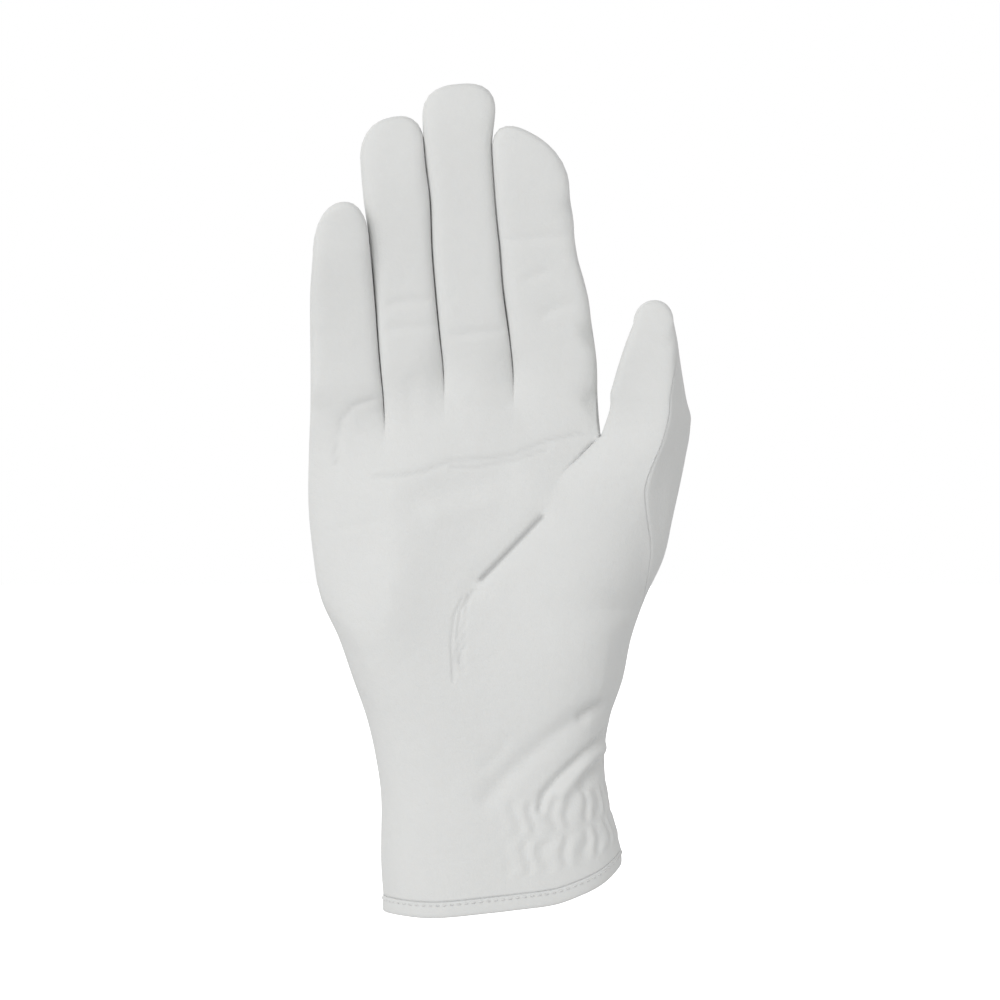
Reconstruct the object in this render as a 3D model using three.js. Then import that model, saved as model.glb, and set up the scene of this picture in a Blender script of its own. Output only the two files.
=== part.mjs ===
import * as THREE from 'three';

// A right-hand riding glove of thin leather, filled as when worn, in millimetres.
// X runs across the palm to the thumb, Y from the palm to the back of the hand, Z from the hem to the fingers.
// The origin is the middle of the wrist opening, level with the lowest point of the hem.

// Heights, from the lowest point of the hem
const gloveLength = 240;
const ringReach = 230.5;
const indexReach = 227.6;
const littleReach = 205.4;
const thumbReach = 177;
const middleCrotchHeight = 156;
const littleCrotchHeight = 144.5;
const thumbWebHeight = 138.2;
const thumbOuterHeight = 134;
const thumbSeamFoot = 88;
const wristHeight = 50;

// Breadths, depths and leather
const palmBreadth = 84;
const handDepth = 30;
const fingerWidth = 21;
const fingerDepth = 19;
const thumbDepth = 20;
const fingerCurl = 8;
const leatherWall = 1.1;
const seamGap = 0.3;
const fingerGap = 0.6;
const hemHeight = 4.6;
const hemThickness = 2;
const hemRise = 14;
const gatherDepth = 0.8;
const gatherCount = 10;

// Roundness of the closed sections: 2 is an ellipse, larger is squarer
const bodySquareness = 2.8;
const fingerSquareness = 3.2;

// Share of a finger's half depth where the side strip meets the front and the back
const stripShare = 0.42;
const stripTaperStart = 0.7;
const stripTaperEnd = 0.965;
const stripEnd = 0.93;

const rad = Math.PI / 180;

// Names the columns of a table whose rows are plain lists
function table(names, rows) {
  return rows.map((row) => Object.fromEntries(names.map((name, index) => [name, row[index]])));
}

// Lines up the glove seen from the palm: rise is a share of the length, across a share of the palm's breadth
const outlineNames = ['rise', 'across'];
const littleSide = table(outlineNames, [
  [0, -0.414], [0.0625, -0.427], [0.14, -0.427], [0.1875, -0.445], [0.235, -0.476], [0.283, -0.524],
  [0.333, -0.574], [0.379, -0.634], [0.429, -0.66], [0.5, -0.678], [0.617, -0.669], [0.742, -0.668],
  [0.792, -0.657], [0.84, -0.645],
]);
const thumbSide = table(outlineNames, [
  [0, 0.43], [0.058, 0.414], [0.092, 0.392], [0.14, 0.357], [0.1875, 0.346], [0.235, 0.364],
  [0.283, 0.409], [0.332, 0.438], [0.38, 0.486], [0.428, 0.549], [0.475, 0.58], [0.548, 0.624],
  [0.596, 0.643], [0.62, 0.627], [0.668, 0.603], [0.6925, 0.592], [0.716, 0.574], [0.73, 0.56],
]);
const littleRingLine = table(outlineNames, [
  [0, -0.31], [0.208, -0.345], [0.333, -0.415], [0.404, -0.412], [0.5, -0.407], [0.602, -0.414],
  [0.69, -0.435], [0.74, -0.446], [0.8125, -0.466], [0.86, -0.485], [0.91, -0.496], [0.95, -0.498],
]);
const ringMiddleLine = table(outlineNames, [
  [0, -0.2], [0.208, -0.238], [0.333, -0.32], [0.404, -0.275], [0.5, -0.22], [0.583, -0.207],
  [0.65, -0.21], [0.69, -0.221], [0.74, -0.235], [0.8, -0.249], [0.86, -0.256], [0.896, -0.269],
  [0.933, -0.279], [0.97, -0.284],
]);
const middleIndexLine = table(outlineNames, [
  [0, -0.107], [0.208, -0.131], [0.333, -0.243], [0.404, -0.165], [0.5, -0.012], [0.583, 0.026],
  [0.65, 0.03], [0.69, 0.019], [0.7525, -0.005], [0.8, -0.015], [0.8375, -0.026], [0.885, -0.036],
  [0.93, -0.042], [0.957, -0.034], [0.98, -0.028],
]);
const thenarLine = table(outlineNames, [
  [0, -0.032], [0.1375, -0.032], [0.208, -0.06], [0.258, -0.143], [0.305, -0.179], [0.356, -0.146],
  [0.404, -0.085], [0.441, 0.019], [0.478, 0.121], [0.52, 0.167], [0.546, 0.242], [0.576, 0.331],
]);
const indexSide = table(outlineNames, [
  [0.576, 0.331], [0.62, 0.322], [0.668, 0.318], [0.716, 0.299], [0.74, 0.29], [0.7645, 0.273],
  [0.7875, 0.254], [0.8125, 0.242], [0.8375, 0.237], [0.86, 0.227], [0.885, 0.22],
]);
const thumbInnerSide = table(outlineNames, [
  [0.576, 0.331], [0.596, 0.349], [0.62, 0.358], [0.644, 0.376], [0.668, 0.396], [0.6925, 0.42],
  [0.716, 0.447], [0.73, 0.465],
]);

// Lines down the back of the hand, where the front's thenar line has no counterpart
const backLineFeet = [-0.24, -0.05, 0.13];
const thumbBackLine = table(outlineNames, [
  [0, 0.215], [0.208, 0.215], [0.367, 0.286], [0.458, 0.325], [0.576, 0.331],
]);

// How far the seam of the thumb's front lies inside the outline: rise is a share of the length
const thumbSeamInset = table(['rise', 'inset'], [
  [0.34, 0], [0.367, 0.002], [0.395, 0.024], [0.428, 0.049], [0.48, 0.078], [0.536, 0.101], [0.6, 0.09],
]);

// Depth of the hand either side of its middle, as shares of its depth at the palm
const handDepths = table(['rise', 'front', 'back'], [
  [0, 0.7, 0.7], [0.083, 0.67, 0.66], [0.167, 0.62, 0.61], [0.208, 0.61, 0.6], [0.27, 0.6, 0.57],
  [0.375, 0.55, 0.52], [0.5, 0.5, 0.48], [0.65, 0.46, 0.44],
]);

// Soft pads and hollows of the palm: lengths are shares of the glove's length, breadths of the palm's breadth
const padNames = ['rise', 'across', 'halfLength', 'halfBreadth', 'height'];
const palmPads = table(padNames, [
  [0.375, 0.3, 0.14, 0.26, 0.2],
  [0.37, -0.47, 0.13, 0.17, 0.1],
  [0.48, -0.1, 0.08, 0.2, -0.06],
]);

// Creases and folds of the front. Points are rise and across shares; width and depth are shares of handDepth,
// and a negative depth is a raised fold.
const creaseNames = ['points', 'width', 'depth'];
const creases = table(creaseNames, [
  [[[0.495, 0.145], [0.478, 0.121], [0.441, 0.019], [0.404, -0.085], [0.37, -0.125]], 0.09, 0.1],
  [[[0.253, 0.36], [0.232, 0.276], [0.217, 0.208], [0.204, 0.09]], 0.085, 0.075],
  [[[0.232, 0.37], [0.207, 0.3], [0.18, 0.22]], 0.08, -0.05],
  [[[0.208, 0.35], [0.187, 0.242], [0.163, 0.173], [0.139, 0.139], [0.125, 0.115]], 0.075, 0.07],
  [[[0.2, 0.105], [0.183, 0.04], [0.153, -0.043], [0.123, -0.077]], 0.09, 0.055],
  [[[0.49, -0.4], [0.514, -0.15], [0.538, 0.094]], 0.16, 0.03],
  [[[0.735, -0.44], [0.735, -0.24]], 0.06, 0.03],
  [[[0.705, -0.43], [0.705, -0.23]], 0.06, 0.025],
  [[[0.7, -0.22], [0.7, 0.01]], 0.06, 0.025],
  [[[0.81, -0.01], [0.815, 0.235]], 0.06, 0.025],
]);

// Height of the hem's edge over its lowest point, as shares of hemRise, by the place across the cuff
const hemLine = table(['place', 'rise'], [
  [-1, 0.05], [-0.6, 0], [-0.1, 0.12], [0.1, 0.18], [0.4, 0.28], [0.6, 0.44], [0.8, 0.66], [1, 1],
]);

// Rows of the mesh below the wrist, as shares of the height from the hem to the wrist. The sewn lines of the
// gathers lie where the tiers of gathers meet, with two full rows between them.
const lowerRows = [0, 0.1, 0.16, 0.31, 0.37, 0.43, 0.58, 0.64, 0.82, 1];
const gatherTiers = [{ from: 0.1, to: 0.37, shift: 0 }, { from: 0.37, to: 0.64, shift: 0.5 }];
const gatherEase = 0.06;
const upperRows = [0.05, 0.1, 0.15, 0.21, 0.28, 0.355, 0.43, 0.51, 0.59, 0.67, 0.75, 0.83, 0.9, 0.95, 1];
const thumbBackFoot = 0.43;
const webBlendStart = 0.66;
const digitRows = [0, 0.1, 0.23, 0.37, 0.51, 0.65, 0.79, stripEnd, 1];
const domeAngles = [30, 60, 90];

// Share of a digit's length over which its side leaves its neighbour's, and over which its gap opens
const crotchEase = 0.15;
const gapEase = 0.08;
// Shares of the palm's columns over which creases and gathers fade towards its edges
const sideFade = 0.25;
const seamFade = 0.1;
const digitFade = 0.2;
const gatherFade = 0.12;
// Step of the slopes that give a surface's direction, and how far from a sheet's end they are taken
const slopeStep = 0.004;
const slopeMargin = 0.01;
const tipMargin = 0.03;
const leatherRoughness = 0.72;
const white = 0xdadcdb;

// Smooth curve through a table, by its rise or another column
function along(rows, at, column, by = 'rise') {
  const last = rows.length - 1;
  let index = 0;
  while (index < last - 1 && at > rows[index + 1][by]) index += 1;
  const start = rows[index];
  const end = rows[index + 1];
  const span = end[by] - start[by];
  const share = Math.min(1, Math.max(0, (at - start[by]) / span));
  const slope = (from, to) => (to[column] - from[column]) / (to[by] - from[by]);
  const startSlope = index > 0 ? slope(rows[index - 1], end) : slope(start, end);
  const endSlope = index < last - 1 ? slope(start, rows[index + 2]) : slope(start, end);
  const square = share * share;
  const cube = square * share;
  return (2 * cube - 3 * square + 1) * start[column]
    + (cube - 2 * square + share) * span * startSlope
    + (3 * square - 2 * cube) * end[column]
    + (cube - square) * span * endSlope;
}

function mix(start, end, share) {
  return start + (end - start) * share;
}

function smooth(start, end, at) {
  const share = Math.min(1, Math.max(0, (at - start) / (end - start)));
  return share * share * (3 - 2 * share);
}

function signedPower(value, power) {
  return Math.sign(value) * Math.abs(value) ** power;
}

// Across and forward shares of a rounded section at an angle that is 0 at the thumb side, 90 at the front
function sectionShares(angle, squareness) {
  const power = 2 / squareness;
  return {
    across: signedPower(Math.cos(angle), power),
    forward: signedPower(Math.sin(angle), power),
  };
}

function angleAcross(share, squareness) {
  const limited = Math.min(1, Math.max(-1, share));
  return Math.acos(signedPower(limited, squareness / 2));
}

function angleForward(share, squareness) {
  return Math.asin(signedPower(Math.min(1, Math.max(-1, share)), squareness / 2));
}

function lineAt(line, height) {
  return along(line, height / gloveLength, 'across') * palmBreadth;
}

// The five digits, from the little finger to the thumb. Drops are shares of fingerWidth, curls of fingerCurl, and
// a larger roundness gives a more pointed tip.
const fingerShape = table(['along', 'front', 'back'], [
  [0, 0.5, 0.5], [0.3, 0.48, 0.47], [0.6, 0.45, 0.44], [0.85, 0.42, 0.41], [1, 0.37, 0.37],
]);
const thumbShape = table(['along', 'front', 'back', 'turn', 'forward'], [
  [0, 0.54, 0.46, 24, 0.26], [0.25, 0.52, 0.47, 20, 0.34], [0.5, 0.49, 0.45, 14, 0.45],
  [0.8, 0.43, 0.4, 7, 0.6], [1, 0.36, 0.34, 3, 0.7],
]);
const digits = [
  {
    name: 'little', left: littleSide, right: littleRingLine, leftFoot: littleCrotchHeight,
    rightFoot: littleCrotchHeight, reach: littleReach, leftDrop: 0.72, rightDrop: 0.58, roundness: 1.25,
    slim: 0.88, curl: 1.15, leftStrip: false, rightStrip: true, frontColumns: 6, backColumns: 5,
  },
  {
    name: 'ring', left: littleRingLine, right: ringMiddleLine, leftFoot: littleCrotchHeight,
    rightFoot: middleCrotchHeight, reach: ringReach, leftDrop: 0.58, rightDrop: 0.42, roundness: 1.1,
    slim: 0.97, curl: 0.8, leftStrip: true, rightStrip: true, frontColumns: 6, backColumns: 5,
  },
  {
    name: 'middle', left: ringMiddleLine, right: middleIndexLine, leftFoot: middleCrotchHeight,
    rightFoot: middleCrotchHeight, reach: gloveLength, leftDrop: 0.46, rightDrop: 0.38, roundness: 1,
    slim: 1.02, curl: 0.7, leftStrip: true, rightStrip: true, frontColumns: 6, backColumns: 5,
  },
  {
    name: 'index', left: middleIndexLine, right: indexSide, leftFoot: middleCrotchHeight,
    rightFoot: thumbWebHeight, reach: indexReach, leftDrop: 0.3, rightDrop: 0.86, roundness: 1.1,
    slim: 1, curl: 0.9, leftStrip: true, rightStrip: false, frontColumns: 6, backColumns: 5,
  },
  {
    name: 'thumb', left: thumbInnerSide, right: thumbSide, leftFoot: thumbWebHeight,
    rightFoot: thumbOuterHeight, reach: thumbReach, leftDrop: 0.32, rightDrop: 0.3, roundness: 1.15,
    slim: 1, curl: 0, leftStrip: false, rightStrip: false, frontColumns: 2 * gatherCount, backColumns: 8,
  },
];
const thumbIndex = digits.length - 1;

const bodyEdges = [littleSide, littleRingLine, ringMiddleLine, middleIndexLine, thenarLine, thumbSide];

// Angles of the seams that have no strip, in degrees from the side towards the front
const indexOuterSeam = table(['along', 'angle'], [[0.15, 12], [0.4, 16], [0.6, 36], [0.85, 34], [1, 0]]);
const thumbOuterSeam = table(['along', 'angle'], [[0, 46], [0.4, 46], [0.7, 38], [0.9, 20], [1, 0]]);
const thumbInnerSeam = table(['along', 'angle'], [[0, 34], [0.25, 5], [0.5, -12], [1, 0]]);

// A digit's half depths, forward place and turn at a share of its length
function digitSection(index, share) {
  const digit = digits[index];
  const t = Math.min(1, Math.max(0, share));
  if (index === thumbIndex) {
    return {
      front: along(thumbShape, t, 'front', 'along') * thumbDepth,
      back: along(thumbShape, t, 'back', 'along') * thumbDepth,
      turn: along(thumbShape, t, 'turn', 'along') * rad,
      middle: -along(thumbShape, t, 'forward', 'along') * thumbDepth,
      halfWidth: fingerWidth / 2,
    };
  }
  const slim = mix(1, digit.slim, smooth(0, 0.3, t));
  return {
    front: along(fingerShape, t, 'front', 'along') * fingerDepth * slim,
    back: along(fingerShape, t, 'back', 'along') * fingerDepth * slim,
    turn: 0,
    middle: -digit.curl * fingerCurl * t * t,
    halfWidth: fingerWidth / 2,
  };
}

// Place across (0 to 1) and depth of a digit's closed section; flatness closes the section into the tip
function digitShares(index, angle, share, flatness = 1) {
  const section = digitSection(index, share);
  const shares = sectionShares(angle, fingerSquareness);
  const half = shares.forward > 0 ? section.front : section.back;
  const sideways = section.halfWidth * shares.across;
  const forward = half * shares.forward;
  const cosTurn = Math.cos(section.turn);
  const sinTurn = Math.sin(section.turn);
  const across = sideways * cosTurn - forward * flatness * sinTurn;
  const deep = -sideways * sinTurn - forward * flatness * cosTurn;
  const dual = fingerSquareness / (fingerSquareness - 1);
  const widest = across > 0 ? section.back : section.front;
  const reach = ((section.halfWidth * cosTurn) ** dual + (widest * sinTurn) ** dual) ** (1 / dual);
  return { place: (1 + across / reach) / 2, depth: section.middle + deep };
}

// Angles of a digit's seams at a share of its length: the front's left and right, the back's left and right
function seamAngles(index, share) {
  const digit = digits[index];
  const taper = Math.min(1, Math.max(0, (stripTaperEnd - share) / (stripTaperEnd - stripTaperStart)));
  const strip = angleForward(stripShare * taper, fingerSquareness);
  const t = Math.min(1, Math.max(0, share));
  let leftFront = digit.leftStrip ? strip : 0;
  let leftBack = digit.leftStrip ? -strip : 0;
  let rightFront = digit.rightStrip ? strip : 0;
  let rightBack = digit.rightStrip ? -strip : 0;
  if (index === thumbIndex) {
    rightFront = along(thumbOuterSeam, t, 'angle', 'along') * rad;
    rightBack = rightFront;
    leftFront = along(thumbInnerSeam, t, 'angle', 'along') * rad;
    leftBack = leftFront;
  }
  if (index === thumbIndex - 1) {
    const foot = angleForward(-thumbWebDepth() / digitSection(index, 0).front, fingerSquareness);
    const seam = along(indexOuterSeam, t, 'angle', 'along') * rad;
    rightFront = mix(foot, seam, smooth(0, 0.25, t));
    rightBack = rightFront;
  }
  return { leftFront, rightFront, leftBack, rightBack };
}

// Depth of the web where the index finger and the thumb part
function thumbWebDepth() {
  const angle = Math.PI - thumbInnerSeam[0].angle * rad;
  return digitShares(thumbIndex, angle, 0).depth;
}

// Angle range of a digit's front, back or side at a share of its length
function angleRange(side, index, share) {
  const seams = seamAngles(index, share);
  if (side === 'front') return [Math.PI - seams.leftFront, seams.rightFront];
  if (side === 'back') return [-Math.PI - seams.leftBack, seams.rightBack];
  if (side === 'left') return [Math.PI - seams.leftFront, Math.PI - seams.leftBack];
  return [seams.rightFront, seams.rightBack];
}

// Place across a digit, drawn to its neighbour's edge at the foot so that the crotch closes. What bulges past a
// seam keeps its own place at the outline.
function digitPlace(side, index, angle, share) {
  const natural = digitShares(index, angle, share).place;
  const free = smooth(0, crotchEase, share);
  const closesLeft = index > 0;
  const closesRight = index < thumbIndex;
  if (side === 'left') return mix(0, natural, free);
  if (side === 'right') return mix(1, natural, free);
  const [start, end] = angleRange(side, index, share);
  const first = digitShares(index, start, share).place;
  const last = digitShares(index, end, share).place;
  const firstTarget = closesLeft ? mix(0, first, free) : first;
  const lastTarget = closesRight ? mix(1, last, free) : last;
  const between = Math.min(last, Math.max(first, natural));
  const before = first > 0 ? Math.min(0, natural - first) * firstTarget / first : 0;
  const beyond = last < 1 ? Math.max(0, natural - last) * (1 - lastTarget) / (1 - last) : 0;
  return mix(firstTarget, lastTarget, (between - first) / (last - first)) + before + beyond;
}

// Sideways shift that brings a digit's own line onto the body's line at its foot
function footShift(bodyLine, digitLine, foot) {
  return lineAt(bodyLine, foot) - lineAt(digitLine, foot);
}

function domeFeet(index) {
  const digit = digits[index];
  return {
    left: digit.reach - digit.leftDrop * fingerWidth,
    right: digit.reach - digit.rightDrop * fingerWidth,
  };
}

// Height of the rounded tip over its base, as a share of its greatest
function domeShare(index, angle) {
  return Math.abs(Math.sin(angle)) ** digits[index].roundness;
}

// The largest rise of the rounded tip that stays under the digit's reach
function domeRise(index) {
  const feet = domeFeet(index);
  let rise = Infinity;
  for (let degrees = 10; degrees <= 170; degrees += 1) {
    const angle = degrees * rad;
    const shares = sectionShares(angle, fingerSquareness);
    const foot = mix(feet.left, feet.right, (1 + shares.across) / 2);
    rise = Math.min(rise, (digits[index].reach - foot) / domeShare(index, angle));
  }
  return rise;
}

// A point of a digit: share runs from its foot (0) to the base of its tip (1), flatness on over the tip
function digitPoint(side, index, across, share, tipAngle = 0) {
  const digit = digits[index];
  const [start, end] = angleRange(side, index, share);
  const angle = mix(start, end, across);
  const place = digitPlace(side, index, angle, share);
  const feet = domeFeet(index);
  const leftHeight = mix(digit.leftFoot, feet.left, share);
  const rightHeight = mix(digit.rightFoot, feet.right, share);
  const opening = fingerGap / 2 * smooth(0, gapEase, share);
  const leftShift = footShift(bodyEdges[index], digit.left, digit.leftFoot);
  const rightShift = footShift(bodyEdges[index + 1], digit.right, digit.rightFoot);
  const left = lineAt(digit.left, leftHeight) + leftShift + (index > 0 ? opening : 0);
  const right = lineAt(digit.right, rightHeight) + rightShift - (index < thumbIndex ? opening : 0);
  const shares = digitShares(index, angle, share, Math.cos(tipAngle));
  const tipPlace = place + shares.place - digitShares(index, angle, share).place;
  const dome = domeRise(index) * domeShare(index, angle) * Math.sin(tipAngle);
  return new THREE.Vector3(
    mix(left, right, tipPlace),
    shares.depth,
    mix(leftHeight, rightHeight, tipPlace) + dome,
  );
}

// Half width and middle of the body of the hand at a height
function bodyWidth(height) {
  const left = lineAt(littleSide, height);
  const right = lineAt(thumbSide, height);
  return { middle: (left + right) / 2, half: (right - left) / 2 };
}

function bodyLines(side, height) {
  if (side === 'front') {
    return [littleRingLine, ringMiddleLine, middleIndexLine, thenarLine].map((line) => lineAt(line, height));
  }
  const feet = [littleCrotchHeight, middleCrotchHeight, middleCrotchHeight];
  const lines = [littleRingLine, ringMiddleLine, middleIndexLine].map((line, index) => {
    const crotch = lineAt(line, feet[index]);
    return mix(backLineFeet[index] * palmBreadth, crotch, height / feet[index]);
  });
  const webShift = footShift(thenarLine, thumbBackLine, thumbWebHeight) * (height / thumbWebHeight);
  return [...lines, lineAt(thumbBackLine, height) + webShift];
}

function bodyOutline(side, height) {
  return [lineAt(littleSide, height), ...bodyLines(side, height), lineAt(thumbSide, height)];
}

// Angles of the lines between the digits, carried down the body of the hand
function bodyAngles(side, height) {
  const width = bodyWidth(height);
  const sign = side === 'front' ? 1 : -1;
  const lines = bodyLines(side, height);
  const inner = lines.map((x) => sign * angleAcross((x - width.middle) / width.half, bodySquareness));
  const insetShare = height > thumbSeamFoot ? along(thumbSeamInset, height / gloveLength, 'inset') : 0;
  const inset = insetShare * palmBreadth;
  const seam = angleAcross((width.half - Math.max(0, inset)) / width.half, bodySquareness);
  return [sign * Math.PI, ...inner, seam];
}

function padHeight(x, height) {
  let total = 0;
  for (const pad of palmPads) {
    const rise = (height / gloveLength - pad.rise) / pad.halfLength;
    const across = (x / palmBreadth - pad.across) / pad.halfBreadth;
    total += pad.height * handDepth * Math.exp(-rise * rise - across * across);
  }
  return total;
}

// The point of the hand's body at an angle and a height, with the soft pads on the palm
function bodySurface(angle, height) {
  const width = bodyWidth(height);
  const shares = sectionShares(angle, bodySquareness);
  const x = width.middle + width.half * shares.across;
  const rise = height / gloveLength;
  if (shares.forward > 0) {
    const edge = Math.min(1, shares.forward * shares.forward * 2);
    const front = along(handDepths, rise, 'front') * handDepth;
    return new THREE.Vector3(x, -front * shares.forward - padHeight(x, height) * edge, height);
  }
  return new THREE.Vector3(x, -along(handDepths, rise, 'back') * handDepth * shares.forward, height);
}

// Place of a column round the cuff, from -1 at the little finger's side to 1 at the thumb's
function cuffPlace(side, index, across) {
  const angles = bodyAngles(side, hemHeight);
  const angle = mix(angles[index], angles[index + 1], across);
  return sectionShares(angle, bodySquareness).across;
}

function hemEdge(place) {
  return along(hemLine, place, 'rise', 'place') * hemRise;
}

// A point of the hand's body: level runs from the hem (0) to the wrist (1) and on to the digits' feet (2)
function bodyPoint(side, index, across, level) {
  const digit = digits[index];
  const [start, end] = angleRange(side, index, 0);
  const angle = mix(start, end, across);
  const place = digitPlace(side, index, angle, 0);
  const foot = mix(digit.leftFoot, digit.rightFoot, place);
  const low = hemEdge(cuffPlace(side, index, across)) + hemHeight;
  const height = level < 1 ? mix(low, wristHeight, level) : mix(wristHeight, foot, level - 1);
  const angles = bodyAngles(side, height);
  const body = bodySurface(mix(angles[index], angles[index + 1], across), height);
  const leftHeight = mix(wristHeight, digit.leftFoot, level - 1);
  const seamPlace = digitPlace(side, index, end, 0);
  const frontLine = bodyOutline('front', leftHeight)[index];
  const leftLine = mix(bodyOutline(side, leftHeight)[index], frontLine, smooth(0, seamPlace, place));
  const rightLine = bodyOutline(side, mix(wristHeight, digit.rightFoot, level - 1))[index + 1];
  const depth = digitShares(index, angle, 0).depth;
  const shape = new THREE.Vector3(mix(leftLine, rightLine, place), depth, height);
  return body.lerp(shape, smooth(1 + webBlendStart, 2, level));
}

// Distance from a point of the front to a crease, and its fading towards both ends
function creaseAt(crease, x, height) {
  let best = Infinity;
  let passed = 0;
  let at = 0;
  const points = crease.points.map(([rise, across]) => [across * palmBreadth, rise * gloveLength]);
  for (let index = 0; index < points.length - 1; index += 1) {
    const [startX, startZ] = points[index];
    const dx = points[index + 1][0] - startX;
    const dz = points[index + 1][1] - startZ;
    const length = Math.hypot(dx, dz);
    const share = Math.min(1, Math.max(0, ((x - startX) * dx + (height - startZ) * dz) / (length * length)));
    const distance = Math.hypot(x - startX - dx * share, height - startZ - dz * share);
    if (distance < best) {
      best = distance;
      at = passed + length * share;
    }
    passed += length;
  }
  const width = crease.width * handDepth;
  const fade = smooth(0, 2 * width, at) * smooth(0, 2 * width, passed - at);
  return Math.exp(-((best / width) ** 2)) * fade;
}

// Inward depth of the creases of the front at a place
function creaseDepth(x, height) {
  return creases.reduce((sum, crease) => sum + crease.depth * handDepth * creaseAt(crease, x, height), 0);
}

// Puffs that the hidden elastic draws up in the leather at the wrist, two tiers half a pitch apart
function gatherHeight(across, level) {
  for (const tier of gatherTiers) {
    if (level > tier.from && level < tier.to) {
      const rise = Math.min(1, (level - tier.from) / gatherEase, (tier.to - level) / gatherEase);
      const wave = Math.cos((across * gatherCount + tier.shift) * 2 * Math.PI);
      return gatherDepth * rise * wave * smooth(0, gatherFade, across) * smooth(0, seamFade, 1 - across);
    }
  }
  return 0;
}

// Outward direction of a surface, from two short steps along it
function surfaceNormal(at, across, level, outward) {
  const alongAcross = at(across + slopeStep, level).sub(at(across - slopeStep, level));
  const alongLevel = at(across, level + slopeStep).sub(at(across, level - slopeStep));
  return alongAcross.cross(alongLevel).multiplyScalar(outward).normalize();
}

// A sheet collects grids of points, each with its outward direction, and joins the points that coincide
const sameDistance = 0.02;

class Sheet {
  constructor(name, colour) {
    this.name = name;
    this.colour = colour;
    this.points = [];
    this.normals = [];
    this.swells = [];
    this.triangles = [];
  }

  addPoint({ point, normal, swell = 0 }) {
    const found = this.points.findIndex((other) => other.distanceToSquared(point) < sameDistance ** 2);
    if (found >= 0) {
      this.normals[found].add(normal);
      return found;
    }
    this.points.push(point.clone());
    this.normals.push(normal.clone());
    this.swells.push(swell);
    return this.points.length - 1;
  }

  addGrid(rows, flipped) {
    const ids = rows.map((row) => row.map((spot) => this.addPoint(spot)));
    for (let row = 0; row < ids.length - 1; row += 1) {
      for (let column = 0; column < ids[row].length - 1; column += 1) {
        const a = ids[row][column];
        const b = ids[row][column + 1];
        const c = ids[row + 1][column + 1];
        const d = ids[row + 1][column];
        const pair = [[a, b, c], [a, c, d]];
        for (const [first, second, third] of pair) {
          if (first !== second && second !== third && third !== first) {
            this.triangles.push(flipped ? [first, third, second] : [first, second, third]);
          }
        }
      }
    }
  }

  // Directed edges that bound one triangle only, as a map from each start to its end
  border() {
    const edges = new Set();
    for (const [a, b, c] of this.triangles) {
      edges.add(`${a},${b}`);
      edges.add(`${b},${c}`);
      edges.add(`${c},${a}`);
    }
    const next = new Map();
    for (const edge of edges) {
      const [start, end] = edge.split(',').map(Number);
      if (!edges.has(`${end},${start}`)) next.set(start, end);
    }
    return next;
  }
}

// Sheets that meet at a seam share one direction there, so that their cut edges are parallel
function shareSeamNormals(sheets) {
  const edges = sheets.flatMap((sheet) => [...sheet.border().keys()].map((id) => ({ sheet, id })));
  const sums = edges.map(({ sheet, id }) => {
    const point = sheet.points[id];
    const sum = new THREE.Vector3();
    for (const other of edges) {
      if (other.sheet.points[other.id].distanceToSquared(point) < sameDistance ** 2) {
        sum.add(other.sheet.normals[other.id].clone().normalize());
      }
    }
    return sum.normalize();
  });
  edges.forEach(({ sheet, id }, index) => sheet.normals[id].copy(sums[index]));
  for (const sheet of sheets) sheet.normals.forEach((normal) => normal.normalize());
}

// Raises puffs and sinks creases along the surface's own direction
function swellOut(sheet) {
  sheet.points.forEach((point, id) => point.addScaledVector(sheet.normals[id], sheet.swells[id]));
}

// Draws the border back along the surface by half the seam's gap
function drawBack(sheet) {
  const next = sheet.border();
  const previous = new Map([...next].map(([start, end]) => [end, start]));
  const moves = [...next.keys()].map((id) => {
    const point = sheet.points[id];
    const before = point.clone().sub(sheet.points[previous.get(id)]).normalize();
    const after = sheet.points[next.get(id)].clone().sub(point).normalize();
    const tangent = before.clone().add(after);
    const sharpness = Math.max(0.5, tangent.length() / 2);
    const inward = sheet.normals[id].clone().cross(tangent).normalize();
    return [id, inward.multiplyScalar(seamGap / 2 / sharpness)];
  });
  for (const [id, move] of moves) sheet.points[id].add(move);
}

// Closes a sheet into a solid of the leather's wall, with flat cut edges
function thickSheet(sheet) {
  const count = sheet.points.length;
  const inner = sheet.points.map((point, id) => {
    return point.clone().addScaledVector(sheet.normals[id], -leatherWall);
  });
  const triangles = sheet.triangles.flatMap(([a, b, c]) => [[a, b, c], [a + count, c + count, b + count]]);
  for (const [start, end] of sheet.border()) {
    triangles.push([end, start, start + count], [end, start + count, end + count]);
  }
  return solidMesh(sheet.name, [...sheet.points, ...inner], triangles, sheet.colour);
}

function solidMesh(name, points, triangles, colour) {
  const geometry = new THREE.BufferGeometry();
  geometry.setAttribute('position', new THREE.Float32BufferAttribute(points.flatMap((p) => p.toArray()), 3));
  geometry.setIndex(triangles.flat());
  geometry.computeVertexNormals();
  const material = new THREE.MeshStandardMaterial({
    color: colour,
    roughness: leatherRoughness,
    metalness: 0,
  });
  const mesh = new THREE.Mesh(geometry, material);
  mesh.name = name;
  return mesh;
}

// All rows of the body, as levels from 0 at the hem to 2 at the digits' feet
const bodyLevels = [...lowerRows, ...upperRows.map((share) => 1 + share)];
const backLevels = bodyLevels.filter((level, index) => index % 2 === 0 || level > 1.75);

function shares(count) {
  return Array.from({ length: count + 1 }, (_, index) => index / count);
}

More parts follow.
